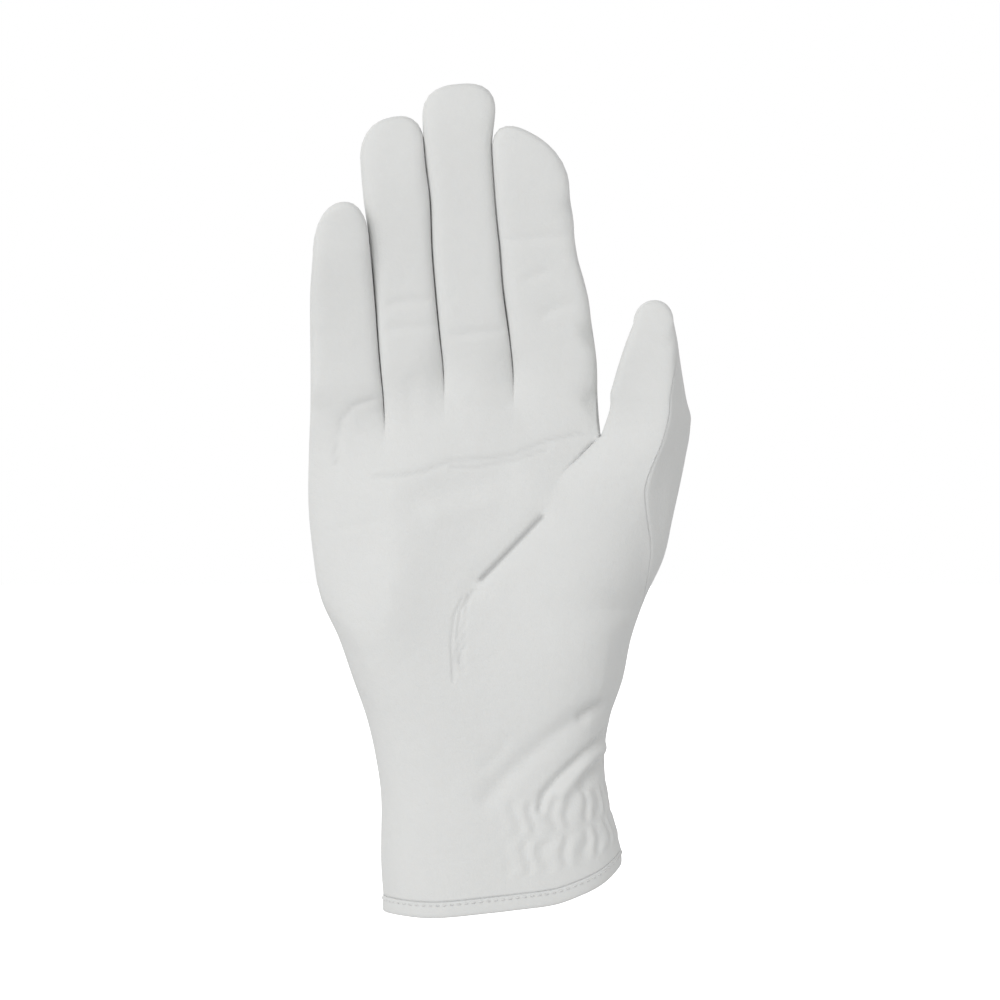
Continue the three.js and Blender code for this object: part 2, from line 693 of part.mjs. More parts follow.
// Rows of the body under one digit
function bodyGrid(side, index, columns, levels) {
  const outward = side === 'front' ? 1 : -1;
  const at = (across, level) => bodyPoint(side, index, across, level);
  return levels.map((level) => shares(columns).map((across) => {
    const point = at(across, level);
    const normal = surfaceNormal(at, across, Math.min(level, 2 - slopeMargin), outward);
    if (side !== 'front') return { point, normal };
    const edge = smooth(0, sideFade, index === 0 ? across : 1)
      * smooth(0, seamFade, index === thumbIndex ? 1 - across : 1);
    const puff = index === thumbIndex ? gatherHeight(across, level) : 0;
    return { point, normal, swell: puff - creaseDepth(point.x, point.z) * edge };
  }));
}

// Rows of one digit's front, back or side, from its foot over its rounded tip
function digitGrid(side, index, columns, rows, angles) {
  const outward = side === 'back' || side === 'left' ? -1 : 1;
  const at = (across, share) => digitPoint(side, index, across, share);
  const lift = new THREE.Vector3(0, 0, 1);
  const inCrotch = (across) => side === 'left' || side === 'right'
    || (across === 0 && index > 0) || (across === 1 && index < thumbIndex);
  const grid = rows.map((share) => shares(columns).map((across) => {
    const point = at(across, share);
    const inside = Math.min(Math.max(share, slopeMargin), 1 - slopeMargin);
    const normal = surfaceNormal(at, across, inside, outward);
    if (share === 0 && inCrotch(across)) normal.add(lift);
    const edge = side === 'front' ? smooth(0, digitFade, across) * smooth(0, digitFade, 1 - across) : 0;
    return { point, normal, swell: -creaseDepth(point.x, point.z) * edge };
  }));
  const tip = (across, angle) => digitPoint(side, index, across, 1, angle);
  for (const degrees of angles) {
    grid.push(shares(columns).map((across) => {
      const pole = across === 0 || across === 1;
      const inside = Math.min(1 - tipMargin, Math.max(tipMargin, across));
      const normal = pole
        ? grid[rows.length - 1][across * columns].normal
        : surfaceNormal(tip, inside, degrees * rad, outward);
      return { point: tip(across, degrees * rad), normal };
    }));
  }
  return grid;
}

// Palm, finger fronts and thumb front in one cut
function palmSheet() {
  const sheet = new Sheet('palm_panel', white);
  digits.forEach((digit, index) => {
    sheet.addGrid(bodyGrid('front', index, digit.frontColumns, bodyLevels), false);
    sheet.addGrid(digitGrid('front', index, digit.frontColumns, digitRows, domeAngles), false);
  });
  return sheet;
}

// Back of the hand and of the fingers, with the thumb side below the thumb's own back
function backSheet() {
  const sheet = new Sheet('back_panel', white);
  digits.forEach((digit, index) => {
    if (index < thumbIndex) {
      sheet.addGrid(bodyGrid('back', index, digit.backColumns, backLevels), true);
      sheet.addGrid(digitGrid('back', index, digit.backColumns, digitRows, domeAngles), true);
    } else {
      const below = backLevels.filter((level) => level <= 1 + thumbBackFoot);
      sheet.addGrid(bodyGrid('back', index, digit.backColumns, below), true);
    }
  });
  return sheet;
}

// Outer side and back of the thumb
function thumbSheet() {
  const sheet = new Sheet('thumb_back', white);
  const columns = digits[thumbIndex].backColumns;
  const above = bodyLevels.filter((level) => level >= 1 + thumbBackFoot);
  sheet.addGrid(bodyGrid('back', thumbIndex, columns, above), true);
  sheet.addGrid(digitGrid('back', thumbIndex, columns, digitRows, domeAngles), true);
  return sheet;
}

// The side strip between two fingers: down the one's right side and up the other's left side
function stripSheet(index) {
  const sheet = new Sheet(`fourchette_${digits[index].name}_${digits[index + 1].name}`, white);
  const rows = digitRows.filter((share) => share <= stripEnd);
  sheet.addGrid(digitGrid('right', index, 2, rows, []), false);
  sheet.addGrid(digitGrid('left', index + 1, 2, rows, []), true);
  return sheet;
}

// The folded hem round the opening: a rounded band under the panels
function hemMesh() {
  const half = hemThickness / 2;
  const profile = [
    { out: -half, rise: 0.25 }, { out: -half * 0.5, rise: 0 }, { out: half * 0.5, rise: 0 },
    { out: half, rise: 0.25 }, { out: half, rise: 0.85 }, { out: half * 0.6, rise: 1 },
    { out: -half * 0.8, rise: 1 },
  ];
  const ring = [];
  const sides = [['front', 'frontColumns'], ['back', 'backColumns']];
  for (const [side, columnsName] of sides) {
    const forwards = digits.map((_, index) => index);
    const order = side === 'front' ? forwards : forwards.reverse();
    for (const index of order) {
      const columns = digits[index][columnsName];
      for (let column = 0; column < columns; column += 1) {
        const across = side === 'front' ? column / columns : 1 - column / columns;
        ring.push({ side, index, across });
      }
    }
  }
  const height = hemHeight - seamGap;
  const points = ring.flatMap(({ side, index, across }) => {
    const at = (acrossAt, level) => bodyPoint(side, index, acrossAt, level);
    const normal = surfaceNormal(at, across, 0, side === 'front' ? 1 : -1);
    normal.z = 0;
    normal.normalize();
    const foot = at(across, 0);
    const middle = foot.clone().addScaledVector(normal, -leatherWall / 2);
    return profile.map(({ out, rise }) => {
      const point = middle.clone().addScaledVector(normal, out);
      point.z = foot.z - hemHeight + height * rise;
      return point;
    });
  });
  const triangles = [];
  const around = ring.length;
  const steps = profile.length;
  for (let column = 0; column < around; column += 1) {
    const start = column * steps;
    const end = ((column + 1) % around) * steps;
    for (let step = 0; step < steps; step += 1) {
      const above = (step + 1) % steps;
      triangles.push([start + step, end + step, end + above], [start + step, end + above, start + above]);
    }
  }
  return solidMesh('cuff_hem', points, triangles, white);
}

const sheets = [palmSheet(), backSheet(), stripSheet(0), stripSheet(1), stripSheet(2), thumbSheet()];
shareSeamNormals(sheets);
sheets.forEach(swellOut);
sheets.forEach(drawBack);

const glove = new THREE.Group();
sheets.forEach((sheet) => glove.add(thickSheet(sheet)));
glove.add(hemMesh());

export default glove;
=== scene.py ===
"""A white leather riding glove for a right hand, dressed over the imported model.

Every panel is a surface worked out with numpy from the same sizes and tables as the solid model,
on a much finer grid, with its creases, gathers, wrinkles, rolled seam edges and stitches.
"""
import math

import bpy
import numpy as np
from bpy.props import FloatProperty, FloatVectorProperty, IntProperty, PointerProperty
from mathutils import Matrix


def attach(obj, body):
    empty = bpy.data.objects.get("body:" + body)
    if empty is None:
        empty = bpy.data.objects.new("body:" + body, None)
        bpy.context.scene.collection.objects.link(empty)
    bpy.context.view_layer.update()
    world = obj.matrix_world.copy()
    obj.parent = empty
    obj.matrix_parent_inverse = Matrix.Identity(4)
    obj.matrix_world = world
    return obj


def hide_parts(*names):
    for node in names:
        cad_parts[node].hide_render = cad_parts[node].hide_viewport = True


bl_info = {
    "name": "Leather riding glove",
    "version": (1, 0, 0),
    "blender": (4, 5, 0),
    "location": "3D View > Sidebar > Glove",
    "description": "Makes a filled leather riding glove with seams, gathers and creases",
    "category": "Add Mesh",
}

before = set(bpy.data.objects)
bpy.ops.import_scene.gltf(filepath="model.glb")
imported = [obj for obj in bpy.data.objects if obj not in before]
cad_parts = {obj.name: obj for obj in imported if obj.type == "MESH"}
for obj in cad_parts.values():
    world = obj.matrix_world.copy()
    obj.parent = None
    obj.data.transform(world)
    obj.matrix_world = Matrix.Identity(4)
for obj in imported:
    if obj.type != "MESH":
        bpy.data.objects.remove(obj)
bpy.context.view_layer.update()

RAD = math.pi / 180
FRONT, BACK, LEFT, RIGHT = "front", "back", "left", "right"

# Lines up the glove seen from the palm. Each row: rise as a share of the length, across as one of the breadth
LITTLE_SIDE = np.array([
    (0, -0.414), (0.0625, -0.427), (0.14, -0.427), (0.1875, -0.445), (0.235, -0.476), (0.283, -0.524),
    (0.333, -0.574), (0.379, -0.634), (0.429, -0.66), (0.5, -0.678), (0.617, -0.669), (0.742, -0.668),
    (0.792, -0.657), (0.84, -0.645)])
THUMB_SIDE = np.array([
    (0, 0.43), (0.058, 0.414), (0.092, 0.392), (0.14, 0.357), (0.1875, 0.346), (0.235, 0.364),
    (0.283, 0.409), (0.332, 0.438), (0.38, 0.486), (0.428, 0.549), (0.475, 0.58), (0.548, 0.624),
    (0.596, 0.643), (0.62, 0.627), (0.668, 0.603), (0.6925, 0.592), (0.716, 0.574), (0.73, 0.56)])
LITTLE_RING = np.array([
    (0, -0.31), (0.208, -0.345), (0.333, -0.415), (0.404, -0.412), (0.5, -0.407), (0.602, -0.414),
    (0.69, -0.435), (0.74, -0.446), (0.8125, -0.466), (0.86, -0.485), (0.91, -0.496), (0.95, -0.498)])
RING_MIDDLE = np.array([
    (0, -0.2), (0.208, -0.238), (0.333, -0.32), (0.404, -0.275), (0.5, -0.22), (0.583, -0.207),
    (0.65, -0.21), (0.69, -0.221), (0.74, -0.235), (0.8, -0.249), (0.86, -0.256), (0.896, -0.269),
    (0.933, -0.279), (0.97, -0.284)])
MIDDLE_INDEX = np.array([
    (0, -0.107), (0.208, -0.131), (0.333, -0.243), (0.404, -0.165), (0.5, -0.012), (0.583, 0.026),
    (0.65, 0.03), (0.69, 0.019), (0.7525, -0.005), (0.8, -0.015), (0.8375, -0.026), (0.885, -0.036),
    (0.93, -0.042), (0.957, -0.034), (0.98, -0.028)])
THENAR_LINE = np.array([
    (0, -0.032), (0.1375, -0.032), (0.208, -0.06), (0.258, -0.143), (0.305, -0.179), (0.356, -0.146),
    (0.404, -0.085), (0.441, 0.019), (0.478, 0.121), (0.52, 0.167), (0.546, 0.242), (0.576, 0.331)])
INDEX_SIDE = np.array([
    (0.576, 0.331), (0.62, 0.322), (0.668, 0.318), (0.716, 0.299), (0.74, 0.29), (0.7645, 0.273),
    (0.7875, 0.254), (0.8125, 0.242), (0.8375, 0.237), (0.86, 0.227), (0.885, 0.22)])
THUMB_INNER_SIDE = np.array([
    (0.576, 0.331), (0.596, 0.349), (0.62, 0.358), (0.644, 0.376), (0.668, 0.396), (0.6925, 0.42),
    (0.716, 0.447), (0.73, 0.465)])
THUMB_BACK_LINE = np.array([(0, 0.215), (0.208, 0.215), (0.367, 0.286), (0.458, 0.325), (0.576, 0.331)])
BACK_LINE_FEET = (-0.24, -0.05, 0.13)
BODY_EDGES = (LITTLE_SIDE, LITTLE_RING, RING_MIDDLE, MIDDLE_INDEX, THENAR_LINE, THUMB_SIDE)

# How far the seam of the thumb's front lies inside the outline: rise, inset
THUMB_SEAM_INSET = np.array([
    (0.35, 0), (0.3667, 0), (0.38, 0.006), (0.395, 0.02), (0.428, 0.049), (0.48, 0.082), (0.536, 0.101),
    (0.6, 0.075), (0.66, 0.03)])

# Depth of the hand either side of its middle, as shares of its depth at the palm: rise, front, back
HAND_DEPTHS = np.array([
    (0, 0.7, 0.7), (0.083, 0.67, 0.66), (0.167, 0.62, 0.61), (0.208, 0.61, 0.6), (0.27, 0.6, 0.57),
    (0.375, 0.55, 0.52), (0.5, 0.5, 0.48), (0.65, 0.46, 0.44)])

# Soft pads and hollows of the palm: rise, across, half length, half breadth, height
PALM_PADS = (
    (0.375, 0.3, 0.14, 0.26, 0.2), (0.37, -0.47, 0.13, 0.17, 0.1), (0.48, -0.1, 0.08, 0.2, -0.06))

# Height of the hem's edge over its lowest point, by the place across the cuff
HEM_LINE = np.array([
    (-1, 0.05), (-0.6, 0), (-0.1, 0.12), (0.1, 0.18), (0.4, 0.28), (0.6, 0.44), (0.8, 0.66), (1, 1)])

# Half depths of the fingers up their length: along, front, back
FINGER_SHAPE = np.array([
    (0, 0.5, 0.5), (0.3, 0.48, 0.47), (0.6, 0.45, 0.44), (0.85, 0.42, 0.41), (1, 0.37, 0.37)])
# The thumb's: along, front, back, turn in degrees, forward place
THUMB_SHAPE = np.array([
    (0, 0.54, 0.46, 24, 0.26), (0.25, 0.52, 0.47, 20, 0.34), (0.5, 0.49, 0.45, 14, 0.45),
    (0.8, 0.43, 0.4, 7, 0.6), (1, 0.36, 0.34, 3, 0.7)])

# Angles of the seams that have no strip: along, degrees from the side towards the front
INDEX_OUTER_SEAM = np.array([(0.15, 21), (0.4, 25), (0.6, 36), (0.75, 33), (0.9, 13), (1, 0)])
THUMB_OUTER_SEAM = np.array([(0, 46), (0.4, 46), (0.65, 38), (0.8, 24), (0.92, 8), (1, 0)])
THUMB_INNER_SEAM = np.array([(0, 38), (0.25, 12), (0.5, -22), (1, 0)])

# Creases and folds of the front. Each: points of rise and across, width and depth as shares of the hand's
# depth; a negative depth is a raised fold.
CREASES = (
    # thenar crease: soft valley, then the narrow straight groove and its fine companions
    (((0.5, 0.17), (0.478, 0.121), (0.441, 0.019), (0.404, -0.085), (0.37, -0.14)), 0.1, 0.022),
    (((0.484, 0.137), (0.441, 0.019), (0.4, -0.094)), 0.028, 0.032),
    (((0.394, -0.104), (0.375, -0.13), (0.345, -0.142), (0.318, -0.14)), 0.018, 0.01),
    (((0.389, -0.12), (0.365, -0.152), (0.335, -0.163), (0.3, -0.16)), 0.018, 0.012),
    (((0.385, -0.14), (0.36, -0.172), (0.33, -0.182), (0.28, -0.176)), 0.018, 0.011),
    (((0.325, -0.15), (0.31, -0.152), (0.29, -0.146)), 0.03, 0.012),
    # folds at the wrist under the thumb
    (((0.262, 0.37), (0.2452, 0.294), (0.232, 0.225), (0.2055, 0.122), (0.1755, 0.019), (0.143, -0.06),
      (0.1214, -0.077)), 0.1, 0.033),
    (((0.258, 0.36), (0.2452, 0.294), (0.235, 0.24)), 0.045, 0.05),
    (((0.226, 0.36), (0.2139, 0.338), (0.1959, 0.27), (0.1671, 0.18), (0.1478, 0.132), (0.122, 0.115)),
     0.038, 0.05),
    (((0.206, 0.36), (0.198, 0.33), (0.177, 0.27), (0.155, 0.212), (0.14, 0.18)), 0.05, -0.03),
    (((0.192, 0.36), (0.183, 0.33), (0.165, 0.28), (0.147, 0.25)), 0.06, 0.05),
    (((0.226, 0.03), (0.2, -0.01), (0.17, -0.1)), 0.07, 0.012),
    # palm lines and swells
    (((0.49, -0.4), (0.514, -0.15), (0.538, 0.094)), 0.16, 0.03),
    (((0.478, -0.3), (0.504, 0.02)), 0.11, -0.015),
    (((0.5276, -0.458), (0.529, -0.359), (0.534, -0.273), (0.547, -0.18), (0.549, -0.084), (0.553, 0.022),
      (0.571, 0.153), (0.5805, 0.276)), 0.026, 0.013),
    (((0.5385, -0.2), (0.5395, -0.09), (0.5475, 0.04), (0.5605, 0.155)), 0.025, 0.011),
    (((0.46, -0.634), (0.477, -0.4)), 0.04, 0.007),
    (((0.536, -0.582), (0.571, -0.5855), (0.595, -0.568), (0.613, -0.52), (0.6225, -0.434)), 0.03, 0.014),
    (((0.66, -0.315), (0.62, -0.321), (0.574, -0.318)), 0.09, 0.014),
    (((0.6225, -0.132), (0.613, -0.084), (0.608, -0.026), (0.6118, 0.029)), 0.04, 0.012),
    # bends of the fingers
    (((0.7315, -0.424), (0.7370, -0.342), (0.739, -0.235)), 0.045, 0.014),
    (((0.704, -0.424), (0.7067, -0.325), (0.709, -0.226)), 0.045, 0.013),
    (((0.696, -0.2), (0.7, -0.101), (0.703, 0.012)), 0.045, 0.014),
    (((0.81, -0.0185), (0.8125, 0.0875), (0.816, 0.2387)), 0.045, 0.011),
    (((0.758, 0.053), (0.768, 0.105), (0.779, 0.163)), 0.045, 0.014),
    (((0.714, 0.105), (0.726, 0.156), (0.74, 0.242)), 0.05, 0.016),
    (((0.7, 0.34), (0.69, 0.25)), 0.12, 0.045),
    (((0.632, 0.35), (0.6, 0.28)), 0.13, 0.05),
    (((0.87, 0.21), (0.83, 0.23)), 0.1, 0.02),
)

# The rows of gathers between the sewn lines of the hidden elastic: from, to, shift in pitches
GATHER_TIERS = ((0.1, 0.37, 0.0), (0.37, 0.64, 0.5))
# Level over which a row comes up, how pointed its puffs are, and where across the thumb's part they fade
GATHER_EASE = 0.06
GATHER_POINT = 0.8
GATHER_STRETCH = (0, 0.12, 0.9, 1)
# How far the gathers sway, in pitches, with the turns of the sway up and across
WIDE_SWAY, WIDE_TURN_UP, WIDE_TURN_ACROSS = 0.16, 23, 9
FINE_SWAY, FINE_TURN_ACROSS = 0.1, 37

# Fine surface grid: columns across each digit's front and back, and rows
FRONT_COLUMNS = (22, 22, 22, 22, 80)
BACK_COLUMNS = (20, 20, 20, 20, 36)
LOWER_ROWS = 64
UPPER_ROWS = 120
DIGIT_ROWS = 84
TIP_ROWS = 12
STRIP_COLUMNS = 8

# The digits from left to right, and what each has of its own: the lines at its sides, where its round tip
# starts left and right in finger widths under its reach, how square that tip is, how full and how curled the
# digit is, and whether it has a side strip left and right
DIGIT_NAMES = ("little", "ring", "middle", "index", "thumb")
THUMB = 4
DIGIT_SIDES = (
    (LITTLE_SIDE, LITTLE_RING), (LITTLE_RING, RING_MIDDLE), (RING_MIDDLE, MIDDLE_INDEX),
    (MIDDLE_INDEX, INDEX_SIDE), (THUMB_INNER_SIDE, THUMB_SIDE))
TIP_DROPS = ((0.72, 0.58), (0.58, 0.42), (0.46, 0.38), (0.3, 0.86), (0.32, 0.3))
TIP_SQUARENESS = (2.2, 2.4, 2.6, 2.3, 2.1)
FULLNESS = (0.88, 0.97, 1.02, 1.0, 1.0)
CURLS = (1.15, 0.8, 0.7, 0.9, 0.0)
STRIP_SIDES = ((False, True), (True, True), (True, True), (True, False), (False, False))

# Sections: how square they are, how far the thumb's outer side is flattened, how fast the pads fade sideways
BODY_SQUARENESS = 2.8
FINGER_SQUARENESS = 6.5
OUTER_FLATNESS = 0.8
PAD_FADE = 2
# Side strips: half breadth as a share of the finger's half depth, where they narrow to nothing, last row
STRIP_SHARE = 0.42
STRIP_TAPER = (0.7, 0.94)
STRIP_END = 0.93
# Shares of the way from the wrist to a digit's foot where the body starts to take the digit's own section, and
# where the panel of the thumb's back starts
WEB_BLEND_START = 0.66
THUMB_BACK_FOOT = 0.43
# Shares of a digit's length over which its crotch opens, its gap opens, its fullness comes and the index
# finger's outer seam turns
CROTCH_EASE = 0.15
GAP_EASE = 0.08
FULLNESS_EASE = 0.3
OUTER_SEAM_EASE = 0.25
# Where the thumb's outer side becomes flat: levels of the body, share before the tip, share across
FLAT_START = (1.45, 1.8)
FLAT_END = 0.3
FLAT_EASE = 0.25
# Directions across a tip in which its rise is fitted, and the share of the length that gives its lean
TIP_ANGLES = np.arange(10, 171) * RAD
LEAN_STEP = 0.1

# Shares across over which the creases fade: at the little finger's side, at the thumb's side, on a digit
LITTLE_FADE = 0.25
THUMB_FADE = 0.06
DIGIT_STRETCH = (0, 0.12, 0.88, 1)
# Only creases as narrow as this get shade painted into them, fully at this depth, both as shares of the hand's
# depth
SHADED_WIDTH = 0.03
SHADED_DEPTH = 0.032

# Levels run from the hem (0) over the wrist (1), a digit's foot (2) and its round tip's foot (3) to its top
# (3.5). Stretches of levels that are evened: start, full, last full, end
PALM_STRETCH = (1.3, 1.6, 2.0, 2.12)
FOOT_STRETCH = (1.8, 1.95, 2.15, 2.4)
TIP_STRETCH = (2.7, 2.9, 3.15, 3.35)
# How often each is evened, how much of the way at once, after how many turns directions are worked out anew
PALM_ROUNDS = 260
LINE_ROUNDS = 60
RELAX_SHARE = 0.9
RELAX_TURNS = 10
# A point whose direction agrees less than this with its neighbours' takes theirs
STEADY_SHARE = 0.3
# Level above the hem over which a panel's border starts to roll, and the least that a sharp corner counts
ROLL_EASE = 0.02
SHARPEST_CORNER = 0.5
SAME_POINT = 1e-5
SMALLEST = 1e-15

# The folded hem's rounded section: out as a share of its half thickness, rise as a share of its height
HEM_PROFILE = np.array([
    (-1, 0.3), (-0.9, 0.12), (-0.5, 0.02), (0, 0), (0.45, 0.02), (0.7, 0.1), (0.78, 0.25), (0.76, 0.5),
    (0.71, 0.7), (0.68, 0.79), (0.65, 0.9), (0.58, 1.0), (-0.6, 1.0), (-0.95, 0.9)])
# Place of its stitches in the section, and how far its top keeps from the panels as a share of the seam gap
HEM_STITCH_RISE = 0.79
HEM_STITCH_OUT = 0.68
HEM_GAP_SHARE = 0.125

# A stitch: its parts along and round, its length as a share of the pitch, its ends' thickness as a share of
# its middle's, and how far it rises and sinks as shares of its half thickness
STITCH_STEPS = 6
STITCH_SIDES = 6
STITCH_LENGTH = 0.72
STITCH_END = 0.45
STITCH_RISE = 1.6
STITCH_SINK = 0.9

# The leather's finish; its clouds, its patches of other roughness and its soft grain; its two bumps as
# strength and depth in metres
LEATHER_FINISH = {
    "Specular IOR Level": 0.32, "Sheen Weight": 0.08, "Sheen Roughness": 0.5, "Subsurface Weight": 0.35,
    "Subsurface Radius": (1.0, 0.95, 0.9), "Subsurface Scale": 0.0012}
CLOUDS = {"Scale": 55, "Detail": 3, "Roughness": 0.5}
PATCHES = {"Scale": 160, "Detail": 4, "Roughness": 0.5}
SOFT_GRAIN = {"Scale": 190, "Detail": 5, "Roughness": 0.6}
SOFT_BUMP = (0.5, 0.0006)
PORE_SCALE = 1250
PORE_BUMP = (0.3, 0.00012)
CLOUD_TONE = 1.035
# How far the leather's colour goes towards the painted crease shade at the deepest narrow creases
CREASE_SHADE_STRENGTH = 0.6
ROUGHNESS_CHANGES = (-0.07, 0.1)
# The thread's finish, twist, bump and shaded tone
THREAD_ROUGHNESS = 0.6
THREAD_TWIST = {"Scale": 900, "Distortion": 1.5}
THREAD_BUMP = (0.5, 0.0001)
THREAD_SHADE = 0.88
# Numbers of the colour mixer's inputs and output, whose names repeat
MIX_AMOUNT, MIX_FIRST, MIX_SECOND, MIX_RESULT = 0, 6, 7, 2

# Each panel's slot and each slot's leather: strength of its grain, tone
PANEL_SLOTS = {"palm_panel": "palm_leather", "back_panel": "back_leather", "thumb_back": "back_leather"}
STRIP_SLOT = "strip_leather"
LEATHERS = {"palm_leather": (1.0, 1.0), "back_leather": (1.0, 0.99), STRIP_SLOT: (0.8, 0.98)}

# The stage: lamps by name, place, size and power, their aim, the world's strength on the glove and as seen
LAMPS = (
    ("key", (-0.85, -1.25, 0.6), 1.3, 11.5),
    ("fill", (1.1, -1.2, 0.1), 1.6, 1.6),
    ("rim", (-0.6, 1.2, 0.8), 1.0, 5.0))
LAMP_AIM = (0.0, 0.0, 0.11)
WORLD_STRENGTHS = (0.61, 1.0)
FLOOR_FINISH = {
    "Base Color": (0.9, 0.9, 0.9, 1), "Emission Color": (1, 1, 1, 1), "Emission Strength": 1.0}
# The picture in pixels: its side, and the column of the glove's middle and the row of its lowest point in it
PICTURE_PIXELS = 1000
GLOVE_COLUMN = 504.5
HEM_ROW = 912
SENSOR_WIDTH = 36
CLIP_RANGE = (0.01, 100)


def metres(label, text, value):
    """A length for the sidebar."""
    return FloatProperty(name=label, description=text, default=value, unit="LENGTH")


def tint(label, text, value):
    """A colour for the sidebar."""
    return FloatVectorProperty(name=label, description=text, default=value, subtype="COLOR", size=3)


class GloveSizes(bpy.types.PropertyGroup):
    """Sizes of the glove, in metres unless they say otherwise."""

    glove_length: metres("Length", "From the lowest point of the hem to the middle fingertip", 0.240)
    ring_reach: metres("Ring tip", "Height of the ring finger's tip", 0.2305)
    index_reach: metres("Index tip", "Height of the index finger's tip", 0.2276)
    little_reach: metres("Little tip", "Height of the little finger's tip", 0.2054)
    thumb_reach: metres("Thumb tip", "Height of the thumb's tip", 0.177)
    middle_crotch: metres("Middle crotch", "Height where the middle finger parts from its neighbours", 0.156)
    little_crotch: metres("Little crotch", "Height where the little finger parts", 0.1445)
    thumb_web: metres("Thumb web", "Height where the thumb parts", 0.1382)
    thumb_outer: metres("Thumb foot", "Height of the thumb's foot at its outer side", 0.134)
    thumb_seam_foot: metres("Thumb seam foot", "Height where the thumb's front seam meets the outline", 0.088)
    wrist_height: metres("Wrist", "Height of the narrowest wrist", 0.050)
    palm_breadth: metres("Palm breadth", "Across the palm below the fingers", 0.084)
    hand_depth: metres("Hand depth", "Thickness of the palm", 0.030)
    finger_width: metres("Finger width", "Width of a finger", 0.021)
    finger_depth: metres("Finger depth", "Thickness of a finger", 0.019)
    thumb_depth: metres("Thumb depth", "Thickness of the thumb", 0.020)
    finger_curl: metres("Curl", "How far the fingertips lean to the palm", 0.008)
    wall: metres("Leather", "Thickness of the leather", 0.0011)
    seam_gap: metres("Seam gap", "Gap between two panels at a seam", 0.00004)
    seam_roll: metres("Seam roll", "How far a panel's edge rolls in at a seam", 0.00016)
    finger_gap: metres("Finger gap", "Gap between closed fingers", 0.00004)
    hem_height: metres("Hem height", "Height of the folded hem", 0.0046)
    hem_thickness: metres("Hem thickness", "Thickness of the folded hem", 0.002)
    hem_rise: metres("Hem rise", "How much higher the hem is at the thumb side", 0.014)
    gather_depth: metres("Gather depth", "How far the gathers stand out", 0.00034)
    gather_count: IntProperty(name="Gathers", description="Number of gathers in one row", default=10)
    stitch_pitch: metres("Stitch pitch", "Distance between two stitches", 0.0021)
    stitch_width: metres("Thread width", "Thickness of the sewing thread", 0.00042)


class GloveLooks(bpy.types.PropertyGroup):
    """Colours and finish of the leather, and the light."""

    leather_colour: tint("Leather", "Colour of the leather", (0.72, 0.725, 0.715))
    # Painted shade: the colour that the narrow creases are darkened towards
    crease_shade_colour: tint("Crease", "Colour deep in the creases", (0.33, 0.33, 0.33))
    lining_colour: tint("Inside", "Colour of the leather's suede inside", (0.62, 0.61, 0.58))
    thread_colour: tint("Thread", "Colour of the sewing thread", (0.76, 0.76, 0.75))
    leather_roughness: FloatProperty(
        name="Roughness", description="Roughness of the leather", default=0.62, subtype="FACTOR")
    floor_height: metres("Floor", "Height of the floor under the hem", -0.03)
    floor_size: metres("Floor size", "Half side of the floor", 6.0)
    camera_distance: metres("Camera distance", "From the camera to the glove", 1.2)
    picture_width: metres("Picture width", "Width that the picture shows at the glove", 0.2905)


def along(rows, at, column=1):
    """Smooth curve through a table's rows: cubic pieces, each row's slope that between its neighbours."""
    start_at, value = rows[:, 0], rows[:, column]
    at = np.asarray(at, float)
    last = len(rows) - 1
    index = np.clip(np.searchsorted(start_at, at, side="left") - 1, 0, last - 1)
    slopes = np.empty(last + 1)
    slopes[1:last] = (value[2:] - value[:-2]) / (start_at[2:] - start_at[:-2])
    slopes[0] = (value[1] - value[0]) / (start_at[1] - start_at[0])
    slopes[last] = (value[last] - value[last - 1]) / (start_at[last] - start_at[last - 1])
    span = start_at[index + 1] - start_at[index]
    share = np.clip((at - start_at[index]) / span, 0, 1)
    square, cube = share ** 2, share ** 3
    return ((2 * cube - 3 * square + 1) * value[index] + (cube - 2 * square + share) * span * slopes[index]
            + (3 * square - 2 * cube) * value[index + 1] + (cube - square) * span * slopes[index + 1])


def mix(start, end, share):
    """The value a share of the way from start to end."""
    return start + (end - start) * share


def smooth(start, end, at):
    """Rises from 0 at start to 1 at end, level at both."""
    share = np.clip((at - start) / (end - start), 0, 1)
    return share * share * (3 - 2 * share)


def within(stretch, at):
    """Rises from 0 to 1 between a stretch's first two places and falls to 0 between its last two."""
    start, full, last_full, end = stretch
    return smooth(start, full, at) * smooth(end, last_full, at)


def unit(vectors):
    """The vectors at length one; one of no length stays as it is."""
    return vectors / np.maximum(np.linalg.norm(vectors, axis=-1, keepdims=True), SMALLEST)


def sums_at(places, vectors, size):
    """For each place from 0 to size, the sum of the vectors that belong to it."""
    sums = [np.bincount(places, weights=column, minlength=size) for column in vectors.T]
    return np.stack(sums, axis=1)


def section_shares(angle, squareness):
    """Across and forward shares of a rounded section's edge in a direction: their powers add up to one."""
    across, forward = np.cos(angle), np.sin(angle)
    reach = (np.abs(across) ** squareness + np.abs(forward) ** squareness) ** (-1 / squareness)
    return across * reach, forward * reach


def other_share(share, squareness):
    """The share that goes with the other one on a rounded section's edge."""
    return np.maximum(0, 1 - np.abs(share) ** squareness) ** (1 / squareness)


def angle_across(share, squareness):
    """The angle at which a section reaches a share of its half width."""
    share = np.clip(share, -1, 1)
    return np.arctan2(other_share(share, squareness), share)


def angle_forward(share, squareness):
    """The angle at which a section reaches a share of its half depth."""
    share = np.clip(share, -1, 1)
    return np.arctan2(share, other_share(share, squareness))


